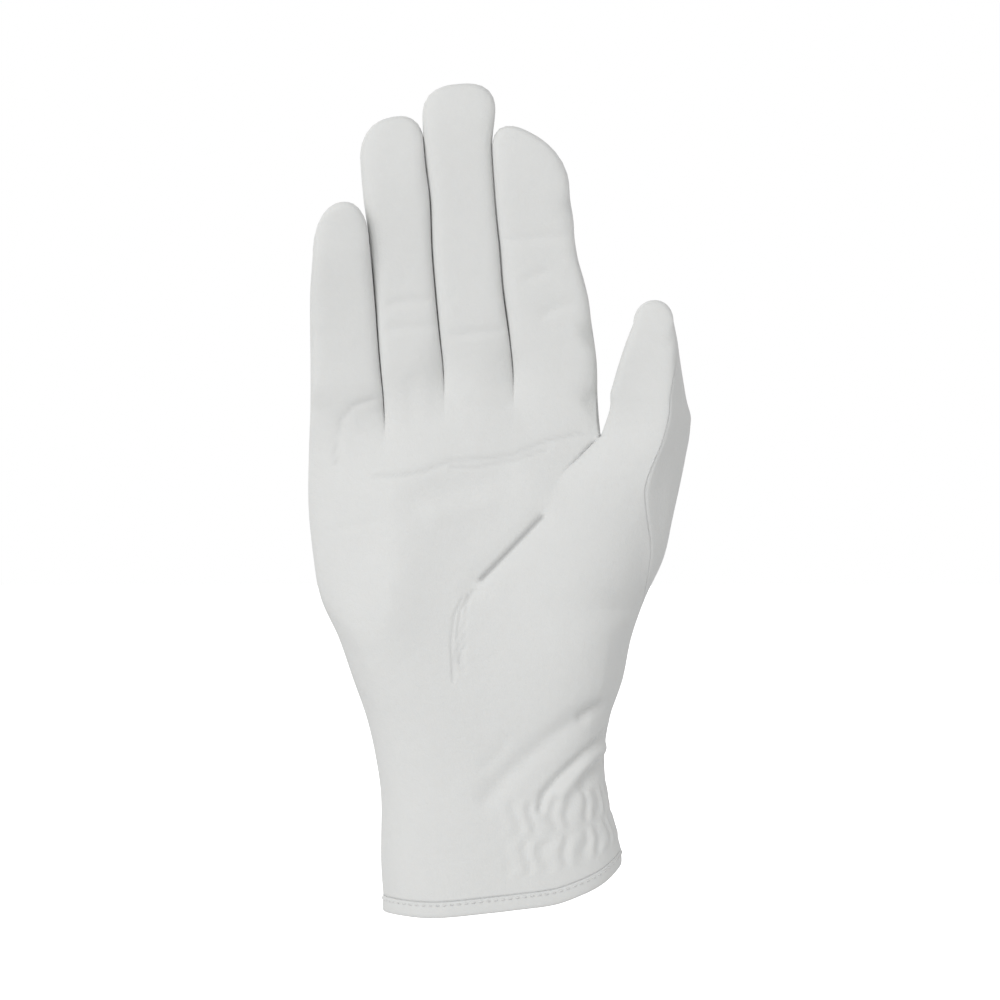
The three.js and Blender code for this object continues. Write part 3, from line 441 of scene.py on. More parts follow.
class GloveForm:
    """The glove's outer surface, as functions of a place across each digit and a level up it."""

    def __init__(self, sizes):
        self.s = sizes
        low, high = sizes.little_crotch, sizes.middle_crotch
        self.feet = ((low, low), (low, high), (high, high), (high, sizes.thumb_web),
                     (sizes.thumb_web, sizes.thumb_outer))
        self.reach = (sizes.little_reach, sizes.ring_reach, sizes.glove_length, sizes.index_reach,
                      sizes.thumb_reach)
        self.rises = [self.tip_rise(index) for index in range(len(DIGIT_NAMES))]

    def line(self, rows, height):
        """Sideways place of an outline's line at a height."""
        return along(rows, height / self.s.glove_length) * self.s.palm_breadth

    def digit_section(self, index, share):
        """A digit's front and back half depths, turn and forward place at a share of its length."""
        t = np.clip(share, 0, 1)
        if index == THUMB:
            depth = self.s.thumb_depth
            return (along(THUMB_SHAPE, t, 1) * depth, along(THUMB_SHAPE, t, 2) * depth,
                    along(THUMB_SHAPE, t, 3) * RAD, -along(THUMB_SHAPE, t, 4) * depth)
        depth = mix(1, FULLNESS[index], smooth(0, FULLNESS_EASE, t)) * self.s.finger_depth
        return (along(FINGER_SHAPE, t, 1) * depth, along(FINGER_SHAPE, t, 2) * depth,
                np.zeros_like(t), -CURLS[index] * self.s.finger_curl * t * t)

    def digit_shares(self, index, angle, share, flatness=1.0):
        """Place across (0 to 1) and depth of a digit's closed section; flatness closes it into the tip."""
        front, back, turn, middle = self.digit_section(index, share)
        across_share, forward_share = section_shares(angle, FINGER_SQUARENESS)
        half_width = self.s.finger_width / 2
        sideways = half_width * across_share
        forward = np.where(forward_share > 0, front, back) * forward_share
        cos_turn, sin_turn = np.cos(turn), np.sin(turn)
        across = sideways * cos_turn - forward * flatness * sin_turn
        deep = -sideways * sin_turn - forward * flatness * cos_turn
        dual = FINGER_SQUARENESS / (FINGER_SQUARENESS - 1)
        widest = np.where(across > 0, back, front)
        reach = ((half_width * cos_turn) ** dual + (widest * sin_turn) ** dual) ** (1 / dual)
        return (1 + across / reach) / 2, middle + deep

    def web_depth(self):
        """Depth of the web where the index finger and the thumb part."""
        angle = np.array(math.pi - THUMB_INNER_SEAM[0, 1] * RAD)
        return self.digit_shares(THUMB, angle, np.array(0.0))[1]

    def seams(self, index, share):
        """Angles of a digit's seams: the front's left and right, the back's left and right."""
        t = np.clip(share, 0, 1)
        taper = np.clip((STRIP_TAPER[1] - share) / (STRIP_TAPER[1] - STRIP_TAPER[0]), 0, 1)
        strip = angle_forward(STRIP_SHARE * taper, FINGER_SQUARENESS)
        none = np.zeros_like(strip)
        left, right = (strip if has else none for has in STRIP_SIDES[index])
        left_front, left_back, right_front, right_back = left, -left, right, -right
        if index == THUMB:
            right_front = right_back = along(THUMB_OUTER_SEAM, t) * RAD
            left_front = left_back = along(THUMB_INNER_SEAM, t) * RAD
        if index == THUMB - 1:
            depth = self.digit_section(index, np.array(0.0))[0]
            foot = angle_forward(-self.web_depth() / depth, FINGER_SQUARENESS)
            right_front = right_back = mix(foot, along(INDEX_OUTER_SEAM, t) * RAD,
                                           smooth(0, OUTER_SEAM_EASE, t))
        return left_front, right_front, left_back, right_back

    def angle_range(self, side, index, share):
        """The angles between which a digit's front, back or side lies."""
        left_front, right_front, left_back, right_back = self.seams(index, share)
        if side == FRONT:
            return math.pi - left_front, right_front
        if side == BACK:
            return -math.pi - left_back, right_back
        if side == LEFT:
            return math.pi - left_front, math.pi - left_back
        return right_front, right_back

    def digit_place(self, side, index, angle, share):
        """Place across a digit, drawn to its neighbour's edge at the foot so that the crotch closes."""
        natural = self.digit_shares(index, angle, share)[0]
        free = smooth(0, CROTCH_EASE, share)
        if side == LEFT:
            return mix(0, natural, free)
        if side == RIGHT:
            return mix(1, natural, free)
        start, end = self.angle_range(side, index, share)
        first = self.digit_shares(index, start, share)[0]
        last = self.digit_shares(index, end, share)[0]
        first_target = mix(0, first, free) if index > 0 else first
        last_target = mix(1, last, free) if index < THUMB else last
        between = np.clip(natural, first, last)
        before = np.minimum(0, natural - first) * first_target / np.where(first > 0, first, np.inf)
        beyond = np.maximum(0, natural - last) * (1 - last_target) / np.where(last < 1, 1 - last, np.inf)
        return mix(first_target, last_target, (between - first) / (last - first)) + before + beyond

    def tip_feet(self, index):
        """Heights where the rounded tip starts at the digit's left and right."""
        return tuple(self.reach[index] - drop * self.s.finger_width for drop in TIP_DROPS[index])

    def tip_rise(self, index):
        """The largest rise of the rounded tip that stays under the digit's reach."""
        left, right = self.tip_feet(index)
        foot = mix(left, right, (1 + section_shares(TIP_ANGLES, FINGER_SQUARENESS)[0]) / 2)
        return ((self.reach[index] - foot) / self.tip_share(index, TIP_ANGLES)).min()

    def tip_share(self, index, angle):
        """Height of the rounded tip over its base, as a share of its greatest: a squarish ellipse across."""
        return other_share(section_shares(angle, FINGER_SQUARENESS)[0], TIP_SQUARENESS[index])

    def tip_lean(self, index):
        """How far the digit's middle moves in depth at its tip for each unit of height."""
        before, after = self.digit_section(index, np.array((1 - LEAN_STEP, 1.0)))[3]
        return (after - before) / LEAN_STEP / (self.tip_feet(index)[0] - self.feet[index][0])

    def digit_point(self, side, index, across, share, tip_angle=0.0):
        """A point of a digit, from its foot (share 0) to its tip's base (1), and over the tip by an angle."""
        start, end = self.angle_range(side, index, share)
        angle = mix(start, end, across)
        place = self.digit_place(side, index, angle, share)
        left_foot, right_foot = self.feet[index]
        left_tip, right_tip = self.tip_feet(index)
        left_height = mix(left_foot, left_tip, share)
        right_height = mix(right_foot, right_tip, share)
        left_line, right_line = DIGIT_SIDES[index]
        opening = self.s.finger_gap / 2 * smooth(0, GAP_EASE, share)
        left = (self.line(left_line, left_height) + self.line(BODY_EDGES[index], left_foot)
                - self.line(left_line, left_foot) + (opening if index > 0 else 0))
        right = (self.line(right_line, right_height) + self.line(BODY_EDGES[index + 1], right_foot)
                 - self.line(right_line, right_foot) - (opening if index < THUMB else 0))
        flat_place, depth = self.digit_shares(index, angle, share, np.cos(tip_angle))
        place = place + flat_place - self.digit_shares(index, angle, share)[0]
        dome = self.rises[index] * self.tip_share(index, angle) * np.sin(tip_angle)
        depth = depth + self.tip_lean(index) * dome
        height = mix(left_height, right_height, place) + dome
        return np.stack([mix(left, right, place), depth, height], axis=-1)

    def body_lines(self, side, height):
        """Sideways places of the outline and of the lines between the digits at a height."""
        left, right = self.line(LITTLE_SIDE, height), self.line(THUMB_SIDE, height)
        if side == FRONT:
            inner = [self.line(rows, height) for rows in BODY_EDGES[1:5]]
            return [left, *inner, right]
        s = self.s
        inner = []
        for rows, foot, share in zip(BODY_EDGES[1:4], (s.little_crotch, s.middle_crotch, s.middle_crotch),
                                     BACK_LINE_FEET):
            inner.append(mix(share * s.palm_breadth, self.line(rows, foot), height / foot))
        shift = self.line(THENAR_LINE, s.thumb_web) - self.line(THUMB_BACK_LINE, s.thumb_web)
        inner.append(self.line(THUMB_BACK_LINE, height) + shift * height / s.thumb_web)
        return [left, *inner, right]

    def body_angles(self, side, height, index):
        """Angles of the two lines that bound a digit's share of the hand's body."""
        sign = 1 if side == FRONT else -1
        lines = self.body_lines(side, height)
        middle, half = (lines[0] + lines[5]) / 2, (lines[5] - lines[0]) / 2
        inset = np.maximum(0, along(THUMB_SEAM_INSET, height / self.s.glove_length)) * self.s.palm_breadth
        inset = np.where(height > self.s.thumb_seam_foot, inset, 0)
        angles = [np.full_like(height, sign * math.pi)]
        angles += [sign * angle_across((x - middle) / half, BODY_SQUARENESS) for x in lines[1:5]]
        angles.append(angle_across((half - inset) / half, BODY_SQUARENESS))
        return angles[index], angles[index + 1]

    def pad_height(self, x, height):
        """Sum of the palm's soft bumps, each a bell curve up and across."""
        total = np.zeros_like(x)
        for rise, across, half_length, half_breadth, tall in PALM_PADS:
            up = (height / self.s.glove_length - rise) / half_length
            sideways = (x / self.s.palm_breadth - across) / half_breadth
            total += tall * self.s.hand_depth * np.exp(-up * up - sideways * sideways)
        return total

    def body_surface(self, angle, height):
        """The hand's body: a rounded section at each height, with the pads on its front."""
        left, right = self.line(LITTLE_SIDE, height), self.line(THUMB_SIDE, height)
        across, forward = section_shares(angle, BODY_SQUARENESS)
        x = (left + right) / 2 + (right - left) / 2 * across
        rise = height / self.s.glove_length
        edge = np.minimum(1, forward * forward * PAD_FADE)
        front = along(HAND_DEPTHS, rise, 1) * self.s.hand_depth * forward + self.pad_height(x, height) * edge
        back = along(HAND_DEPTHS, rise, 2) * self.s.hand_depth * forward
        return np.stack([x, np.where(forward > 0, -front, -back), height], axis=-1)

    def cuff_place(self, side, index, across):
        """Place of a column round the cuff, from -1 at the little finger's side to 1 at the thumb's."""
        height = np.full_like(across, self.s.hem_height)
        start, end = self.body_angles(side, height, index)
        return section_shares(mix(start, end, across), BODY_SQUARENESS)[0]

    def body_point(self, side, index, across, level):
        """The hand's body: level runs from the hem (0) to the wrist (1) and on to the digits' feet (2)."""
        s = self.s
        foot = np.zeros_like(level)
        start, end = self.angle_range(side, index, foot)
        angle = mix(start, end, across)
        place = self.digit_place(side, index, angle, foot)
        low = along(HEM_LINE, self.cuff_place(side, index, across)) * s.hem_rise + s.hem_height
        left_foot, right_foot = self.feet[index]
        upper = mix(s.wrist_height, mix(left_foot, right_foot, place), level - 1)
        height = np.where(level < 1, mix(low, s.wrist_height, level), upper)
        body_start, body_end = self.body_angles(side, height, index)
        body = self.body_surface(mix(body_start, body_end, across), height)
        left_height = mix(s.wrist_height, left_foot, level - 1)
        seam_place = self.digit_place(side, index, end, foot)
        left = mix(self.body_lines(side, left_height)[index], self.body_lines(FRONT, left_height)[index],
                   smooth(0, seam_place, place))
        right = self.body_lines(side, mix(s.wrist_height, right_foot, level - 1))[index + 1]
        depth = self.digit_shares(index, angle, foot)[1]
        shape = np.stack([mix(left, right, place), depth, height], axis=-1)
        return mix(body, shape, smooth(1 + WEB_BLEND_START, 2, level)[..., None])

    def crease_depth(self, x, height, widest=1.0):
        """Inward depth of the creases: a bell curve of the distance to each line, fading at its ends."""
        s = self.s
        total = np.zeros_like(x)
        for points, width_share, depth_share in CREASES:
            if width_share > widest:
                continue
            width = width_share * s.hand_depth
            nearest = np.full_like(x, np.inf)
            at = np.zeros_like(x)
            passed = 0.0
            places = [(across * s.palm_breadth, rise * s.glove_length) for rise, across in points]
            for (x0, z0), (x1, z1) in zip(places, places[1:]):
                length = math.hypot(x1 - x0, z1 - z0)
                share = np.clip(((x - x0) * (x1 - x0) + (height - z0) * (z1 - z0)) / length ** 2, 0, 1)
                distance = np.hypot(x - mix(x0, x1, share), height - mix(z0, z1, share))
                closer = distance < nearest
                nearest = np.where(closer, distance, nearest)
                at = np.where(closer, passed + length * share, at)
                passed += length
            ease = min(2 * width, passed / 2)
            fade = smooth(0, ease, at) * smooth(0, ease, passed - at)
            total += depth_share * s.hand_depth * np.exp(-(nearest / width) ** 2) * fade
        return total

    def crease_values(self, points, edge):
        """How far the creases move points of the front, and the shade painted into the narrow ones; both fade
        with edge.
        """
        x, height = points[..., 0], points[..., 2]
        return -self.crease_depth(x, height) * edge, self.crease_depth(x, height, SHADED_WIDTH) * edge

    def gather_height(self, across, level):
        """Puffs drawn up by the elastic: waves across, in two tiers half a pitch apart, flat where sewn."""
        total = np.zeros_like(across)
        sway = (WIDE_SWAY * np.sin(level * WIDE_TURN_UP + across * WIDE_TURN_ACROSS)
                + FINE_SWAY * np.sin(across * FINE_TURN_ACROSS))
        for start, end, shift in GATHER_TIERS:
            rise = np.clip(np.minimum(level - start, end - level) / GATHER_EASE, 0, 1)
            wave = np.cos((across * self.s.gather_count + shift + sway) * 2 * math.pi)
            puff = np.abs(wave / 2 + 0.5) ** GATHER_POINT * 2 - 1
            total += self.s.gather_depth * smooth(0, 1, rise) * puff
        return total * within(GATHER_STRETCH, across)


def flat_outer_side(form, at, points, across, level, amount):
    """Draws the thumb's outer side to straight lines between the outline and the seam, by an amount."""
    start, end = form.angle_range(BACK, THUMB, np.clip(level - 2, 0, 1))
    outline = -start / (end - start)
    part = np.clip((across - outline) / np.maximum(1 - outline, SMALLEST), 0, 1)
    straight = mix(at(outline, level), at(np.ones_like(across), level), part[..., None])
    return mix(points, straight, (amount * OUTER_FLATNESS * smooth(0, FLAT_EASE, part))[..., None])


class Sheet:
    """Grids of points joined where they coincide, and closed into a panel of leather."""

    def __init__(self):
        self.grids, self.faces, self.lengthwise = [], [], []
        self.count = 0

    def add_grid(self, points, swells, shade_marks, rolls, levels, flipped):
        """Takes a grid and its faces, turned so that they face outward."""
        rows, columns = points.shape[:2]
        ids = np.arange(rows * columns).reshape(rows, columns) + self.count
        a, b, c, d = ids[:-1, :-1], ids[:-1, 1:], ids[1:, 1:], ids[1:, :-1]
        faces = np.stack([a, d, c, b] if flipped else [a, b, c, d], axis=-1).reshape(-1, 4)
        self.grids.append(np.dstack([points, swells, shade_marks, rolls, levels]).reshape(rows * columns, -1))
        self.faces.append(faces)
        self.lengthwise.append(np.stack([ids[:-1], ids[1:]], axis=-1).reshape(-1, 2))
        self.count += rows * columns

    def join(self):
        """Joins the points that coincide."""
        rows = np.concatenate(self.grids)
        keys = np.round(rows[:, :3] / SAME_POINT).astype(np.int64)
        _, first, same = np.unique(keys, axis=0, return_index=True, return_inverse=True)
        same = same.reshape(-1)
        self.p = rows[first, :3]
        self.swell, self.mark, self.roll, self.level = rows[first, 3:].T
        self.f = same[np.concatenate(self.faces)]
        self.runs = np.unique(same[np.concatenate(self.lengthwise)], axis=0)

    def relax(self, weight, rounds, edges):
        """Draws each point in depth towards the middle of its neighbours, by its weight, a number of times.

        Only the part of the way along the surface's own direction counts, so uneven rows stay as they are.
        """
        starts, ends = np.concatenate([edges, edges[:, ::-1]]).T
        size = len(self.p)
        counts = np.maximum(np.bincount(starts, minlength=size), 1)[:, None]
        weight = weight.copy()
        weight[np.unique(self.border()[0])] = 0
        for turn in range(rounds):
            if turn % RELAX_TURNS == 0:
                self.turn_normals()
            way = (self.n * (sums_at(starts, self.p[ends], size) / counts - self.p)).sum(axis=1)
            self.p[:, 1] += weight * way * self.n[:, 1]

    def all_edges(self):
        """Both ends of every edge of the faces."""
        return np.stack([self.f.reshape(-1), np.roll(self.f, -1, axis=1).reshape(-1)], axis=1)

    def turn_normals(self):
        """Outward directions: the sum of the faces' directions round each point."""
        corners = self.p[self.f]
        across = np.cross(corners[:, 2] - corners[:, 0], corners[:, 3] - corners[:, 1])
        self.n = unit(sums_at(self.f.reshape(-1), np.repeat(across, 4, axis=0), len(self.p)))

    def steady_normals(self):
        """Gives a point whose direction turns away from those of its neighbours their middle direction."""
        edges = self.all_edges()
        starts, ends = np.concatenate([edges, edges[:, ::-1]]).T
        middle = unit(sums_at(starts, self.n[ends], len(self.p)))
        odd = (middle * self.n).sum(axis=1) < STEADY_SHARE
        self.n[odd] = middle[odd]

    def border(self):
        """Start and end of every directed edge that bounds one face only."""
        starts, ends = self.all_edges().T
        real = starts != ends
        starts, ends = starts[real], ends[real]
        size = len(self.p)
        lone = ~np.isin(starts * size + ends, ends * size + starts)
        return starts[lone], ends[lone]


def share_seam_normals(sheets):
    """Gives the points of all sheets that meet at a seam one common direction, evened along each border."""
    spots, normals = [], []
    for sheet in sheets:
        starts, ends = sheet.border()
        evened = sheet.n / 2
        np.add.at(evened, starts, sheet.n[ends])
        np.add.at(evened, ends, sheet.n[starts])
        spots.append(np.unique(starts))
        normals.append(unit(evened[spots[-1]]))
    points = np.concatenate([sheet.p[ids] for sheet, ids in zip(sheets, spots)])
    _, same = np.unique(np.round(points / SAME_POINT).astype(np.int64), axis=0, return_inverse=True)
    same = same.reshape(-1)
    common = unit(sums_at(same, np.concatenate(normals), same.max() + 1))[same]
    for sheet, ids in zip(sheets, spots):
        sheet.n[ids], common = common[:len(ids)], common[len(ids):]


def finish_edges(sheet, gap, roll):
    """Draws a panel's border back by half the gap and rolls it inward, less at a sharp corner."""
    starts, ends = sheet.border()
    following = dict(zip(starts.tolist(), ends.tolist()))
    preceding = {end: start for start, end in following.items()}
    ids = np.array(sorted(following))
    before = unit(sheet.p[ids] - sheet.p[[preceding[i] for i in ids.tolist()]])
    after = unit(sheet.p[[following[i] for i in ids.tolist()]] - sheet.p[ids])
    tangent = before + after
    sharpness = np.maximum(SHARPEST_CORNER, np.linalg.norm(tangent, axis=1, keepdims=True) / 2)
    inward = unit(np.cross(sheet.n[ids], tangent))
    sheet.p[ids] += inward * gap / 2 / sharpness - sheet.n[ids] * (roll * sheet.roll[ids])[:, None]


def smooth_mesh(name, points, faces, values):
    """A smoothly shaded mesh of points and faces, with a value at each point for every label."""
    mesh = bpy.data.meshes.new(name)
    mesh.from_pydata(points.reshape(-1, 3).tolist(), [], faces)
    for label, amounts in values.items():
        layer = mesh.attributes.new(label, "FLOAT", "POINT")
        layer.data.foreach_set("value", amounts.astype(np.float32))
    mesh.shade_smooth()
    mesh.validate()
    return mesh


def panel_mesh(name, sheet, wall):
    """Closes a sheet into a solid of one wall: the outer faces, the inner ones turned over, the cut edge."""
    size = len(sheet.p)
    starts, ends = sheet.border()
    walls = np.stack([ends, starts, starts + size, ends + size], axis=1)
    faces = np.concatenate([sheet.f, sheet.f[:, ::-1] + size, walls])
    points = np.concatenate([sheet.p, sheet.p - sheet.n * wall])
    # The outer faces carry the painted crease shade, the inner faces none
    values = {"crease_shade": np.concatenate([sheet.mark, np.zeros(size)]), "inside": np.repeat((0.0, 1.0), size)}
    return smooth_mesh(name, points, tidy_faces(faces), values)


def tidy_faces(faces):
    """Faces as lists, with a repeated corner left out, so that a face at a pole is a triangle."""
    whole = np.all(faces != np.roll(faces, -1, axis=1), axis=1)
    lists = faces[whole].tolist()
    for face in faces[~whole].tolist():
        corners = [corner for place, corner in enumerate(face) if corner != face[place - 1]]
        if len(corners) == 3:
            lists.append(corners)
    return lists


def grid_of(columns, levels):
    """Two grids: the place across and the level, for whole rows and columns."""
    return np.meshgrid(np.linspace(0, 1, columns + 1), levels)


def body_grid(form, sheet, side, index, columns, levels):
    """Adds the part of the hand's body under one digit, with its creases and gathers."""
    across, level = grid_of(columns, levels)
    points = form.body_point(side, index, across, level)
    if side == BACK and index == THUMB:
        points = flat_outer_side(form, lambda u, v: form.body_point(side, index, u, v), points, across, level,
                                 smooth(*FLAT_START, level))
    # Swells move the points of the creases; shade marks hold the shade painted into the narrow ones
    swells, shade_marks = np.zeros_like(across), np.zeros_like(across)
    if side == FRONT:
        edge = smooth(0, LITTLE_FADE, across) if index == 0 else np.ones_like(across)
        if index == THUMB:
            edge = smooth(0, THUMB_FADE, 1 - across)
        swells, shade_marks = form.crease_values(points, edge)
        if index == THUMB:
            swells = swells + form.gather_height(across, level)
    sheet.add_grid(points, swells, shade_marks, smooth(0, ROLL_EASE, level), level, side == BACK)


def digit_grid(form, sheet, side, index, columns, shares, tip=True):
    """Adds one digit's front, back or side, from its foot over its rounded tip."""
    across, share = grid_of(columns, shares)
    points = form.digit_point(side, index, across, share)
    if side == BACK and index == THUMB:
        points = flat_outer_side(form, lambda u, v: form.digit_point(side, index, u, v - 2), points, across,
                                 share + 2, smooth(0, FLAT_END, 1 - share))
    swells, shade_marks = np.zeros_like(across), np.zeros_like(across)
    if side == FRONT:
        swells, shade_marks = form.crease_values(points, within(DIGIT_STRETCH, across))
    flipped = side in (BACK, LEFT)
    sheet.add_grid(points, swells, shade_marks, np.ones_like(across), 2 + share, flipped)
    if not tip:
        return
    across, angle = grid_of(columns, np.linspace(0, math.pi / 2, TIP_ROWS + 1))
    tips = form.digit_point(side, index, across, np.ones_like(across), angle)
    none = np.zeros_like(across)
    sheet.add_grid(tips, none, none, np.ones_like(across), 3 + angle / math.pi, flipped)


def body_levels():
    """Levels of the body's rows below the wrist, up to the foot of the thumb's back, and above it."""
    lower = np.linspace(0, 1, LOWER_ROWS + 1)[:-1]
    first = np.linspace(1, 1 + THUMB_BACK_FOOT, int(UPPER_ROWS * THUMB_BACK_FOOT) + 1)
    second = np.linspace(1 + THUMB_BACK_FOOT, 2, int(UPPER_ROWS * (1 - THUMB_BACK_FOOT)) + 1)[1:]
    return lower, first, second


def lay_sheets(form):
    """The grids of all panels by node name, with the points of each joined."""
    lower, first, second = body_levels()
    all_levels = np.concatenate([lower, first, second])
    shares = np.linspace(0, 1, DIGIT_ROWS + 1)
    strip_shares = shares[shares <= STRIP_END]
    sheets = {node: Sheet() for node in PANEL_SLOTS}
    wholes = ((FRONT, "palm_panel", FRONT_COLUMNS), (BACK, "back_panel", BACK_COLUMNS[:THUMB]))
    for side, node, counts in wholes:
        for index, columns in enumerate(counts):
            body_grid(form, sheets[node], side, index, columns, all_levels)
            digit_grid(form, sheets[node], side, index, columns, shares)
    columns = BACK_COLUMNS[THUMB]
    body_grid(form, sheets["back_panel"], BACK, THUMB, columns, np.concatenate([lower, first]))
    body_grid(form, sheets["thumb_back"], BACK, THUMB, columns, np.concatenate([first[-1:], second]))
    digit_grid(form, sheets["thumb_back"], BACK, THUMB, columns, shares)
    for index in range(THUMB - 1):
        strip = Sheet()
        digit_grid(form, strip, RIGHT, index, STRIP_COLUMNS, strip_shares, tip=False)
        digit_grid(form, strip, LEFT, index + 1, STRIP_COLUMNS, strip_shares, tip=False)
        sheets[f"fourchette_{DIGIT_NAMES[index]}_{DIGIT_NAMES[index + 1]}"] = strip
    for sheet in sheets.values():
        sheet.join()
    return sheets


def build_sheets(form):
    """All panels of the glove by node name, evened, creased and with their borders rolled."""
    sheets = lay_sheets(form)
    palm = sheets["palm_panel"]
    palm.relax(RELAX_SHARE * within(PALM_STRETCH, palm.level), PALM_ROUNDS, palm.all_edges())
    for sheet in sheets.values():
        weight = np.maximum(within(FOOT_STRETCH, sheet.level), within(TIP_STRETCH, sheet.level))
        sheet.relax(RELAX_SHARE * weight, LINE_ROUNDS, sheet.runs)
        sheet.turn_normals()
        sheet.steady_normals()
    share_seam_normals(list(sheets.values()))
    for sheet in sheets.values():
        # Painted shade of each point: 0 outside the narrow creases, 1 at their full depth
        sheet.mark = np.clip(sheet.mark / (form.s.hand_depth * SHADED_DEPTH), 0, 1) ** 2
        sheet.p += sheet.n * sheet.swell[:, None]
        finish_edges(sheet, form.s.seam_gap, form.s.seam_roll)
    return sheets


def cuff_ring(form):
    """Places round the cuff in order, each with its foot on the hem line and its outward direction."""
    feet = []
    for index, columns in enumerate(FRONT_COLUMNS):
        across = np.arange(columns) / columns
        feet.append(form.body_point(FRONT, index, across, np.zeros(columns)))
    for index, columns in reversed(list(enumerate(BACK_COLUMNS))):
        across = 1 - np.arange(columns) / columns
        feet.append(form.body_point(BACK, index, across, np.zeros(columns)))
    feet = np.concatenate(feet)
    onward = np.roll(feet, -1, axis=0) - np.roll(feet, 1, axis=0)
    return feet, unit(np.stack([onward[:, 1], -onward[:, 0], np.zeros(len(feet))], axis=1))


def hem_mesh(form):
    """The folded hem: one rounded section carried round the cuff, with a groove where it is stitched."""
    s = form.s
    feet, directions = cuff_ring(form)
    middle = feet - directions * s.wall / 2
    out = HEM_PROFILE[:, 0] * s.hem_thickness / 2
    rise = (HEM_PROFILE[:, 1] - 1) * s.hem_height - s.seam_gap * HEM_GAP_SHARE * HEM_PROFILE[:, 1]
    points = middle[:, None, :] + directions[:, None, :] * out[None, :, None]
    points[..., 2] = feet[:, None, 2] + rise[None, :]
    around, steps = points.shape[:2]
    ids = np.arange(around * steps).reshape(around, steps)
    after = np.roll(ids, -1, axis=0)
    faces = np.stack([ids, after, np.roll(after, -1, axis=1), np.roll(ids, -1, axis=1)], axis=-1)
    none = np.zeros(around * steps)
    # The hem gets no painted crease shade
    return smooth_mesh("hem", points, faces.reshape(-1, 4).tolist(), {"crease_shade": none, "inside": none})


def stitch_mesh(name, starts, ends, outs, width):
    """Many stitches at once: each a rounded bar from start to end, sunk at both, bulging out between."""
    share = np.linspace(0, 1, STITCH_STEPS + 1)
    turn = np.arange(STITCH_SIDES) / STITCH_SIDES * 2 * math.pi
    sideways = np.cross(unit(ends - starts), outs)
    arch = np.sin(share * math.pi)
    middle = mix(starts[:, None, :], ends[:, None, :], share[None, :, None])
    middle = middle + outs[:, None, :] * (width / 2 * (arch * STITCH_RISE - STITCH_SINK))[None, :, None]
    radius = width / 2 * mix(STITCH_END, 1, arch ** 0.5)
    ring = (sideways[:, None, None, :] * np.cos(turn)[None, None, :, None]
            + outs[:, None, None, :] * np.sin(turn)[None, None, :, None])
    points = middle[:, :, None, :] + ring * radius[None, :, None, None]
    ids = np.arange(points.size // 3).reshape(points.shape[:3])
    low, high = ids[:, :-1], ids[:, 1:]
    faces = np.stack([low, np.roll(low, -1, axis=2), np.roll(high, -1, axis=2), high], axis=-1)
    caps = ids[:, 0, ::-1].tolist() + ids[:, -1, :].tolist()
    return smooth_mesh(name, points, faces.reshape(-1, 4).tolist() + caps, {})


def evenly_spaced(points, directions, pitch):
    """Places at an even pitch along a closed line, with the directions there."""
    rows = np.hstack([points, directions])
    closed = np.vstack([rows, rows[:1]])
    lengths = np.linalg.norm(np.diff(closed[:, :3], axis=0), axis=1)
    travelled = np.concatenate([[0], np.cumsum(lengths)])
    count = int(round(travelled[-1] / pitch))
    at = np.arange(count) * travelled[-1] / count
    spaced = np.stack([np.interp(at, travelled, column) for column in closed.T], axis=1)
    return spaced[:, :3], unit(spaced[:, 3:])


def place_object(name, data):
    """A new object in the scene."""
    thing = bpy.data.objects.new(name, data)
    bpy.context.scene.collection.objects.link(thing)
    return thing


def add_object(name, mesh, node=None):
    """Puts a mesh in the scene, riding on the glove's one body and standing for a solid where it has one."""
    old = bpy.data.objects.get(name)
    if old is not None:
        bpy.data.objects.remove(old)
    piece = place_object(name, mesh)
    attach(piece, "root")
    if node:
        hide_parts(node)
    return piece


def new_material(name):
    """A new material and its nodes' tree."""
    material = bpy.data.materials.new(name)
    material.use_nodes = True
    return material, material.node_tree


def fill(tree, node, values):
    """Fills a node's inputs by name or number, each with a plain value or another node's output."""
    for label, value in values.items():
        if isinstance(value, bpy.types.NodeSocket):
            tree.links.new(value, node.inputs[label])
        else:
            node.inputs[label].default_value = value
    return node


def new_node(tree, kind, values):
    """A new node with its inputs filled."""
    return fill(tree, tree.nodes.new(kind), values)


def blend(tree, amount, first, second):
    """The mix of two colours by an amount."""
    node = tree.nodes.new("ShaderNodeMix")
    node.data_type = "RGBA"
    return fill(tree, node, {MIX_AMOUNT: amount, MIX_FIRST: first, MIX_SECOND: second}).outputs[MIX_RESULT]


def spread(tree, source, low, high):
    """A value that runs from low to high where its source runs from 0 to 1."""
    values = {"Value": source, "To Min": low, "To Max": high}
    return new_node(tree, "ShaderNodeMapRange", values).outputs["Result"]


def bump(tree, height, strength, distance, lower=None):
    """The surface's direction with a height laid on it, over a lower bump where one is given."""
    values = {"Height": height, "Strength": strength, "Distance": distance}
    if lower:
        values["Normal"] = lower
    return new_node(tree, "ShaderNodeBump", values).outputs["Normal"]


def opaque(shade, tone=1.0):
    """A colour made lighter or darker by its tone, with nothing showing through."""
    return tuple(min(1.0, channel * tone) for channel in shade) + (1.0,)


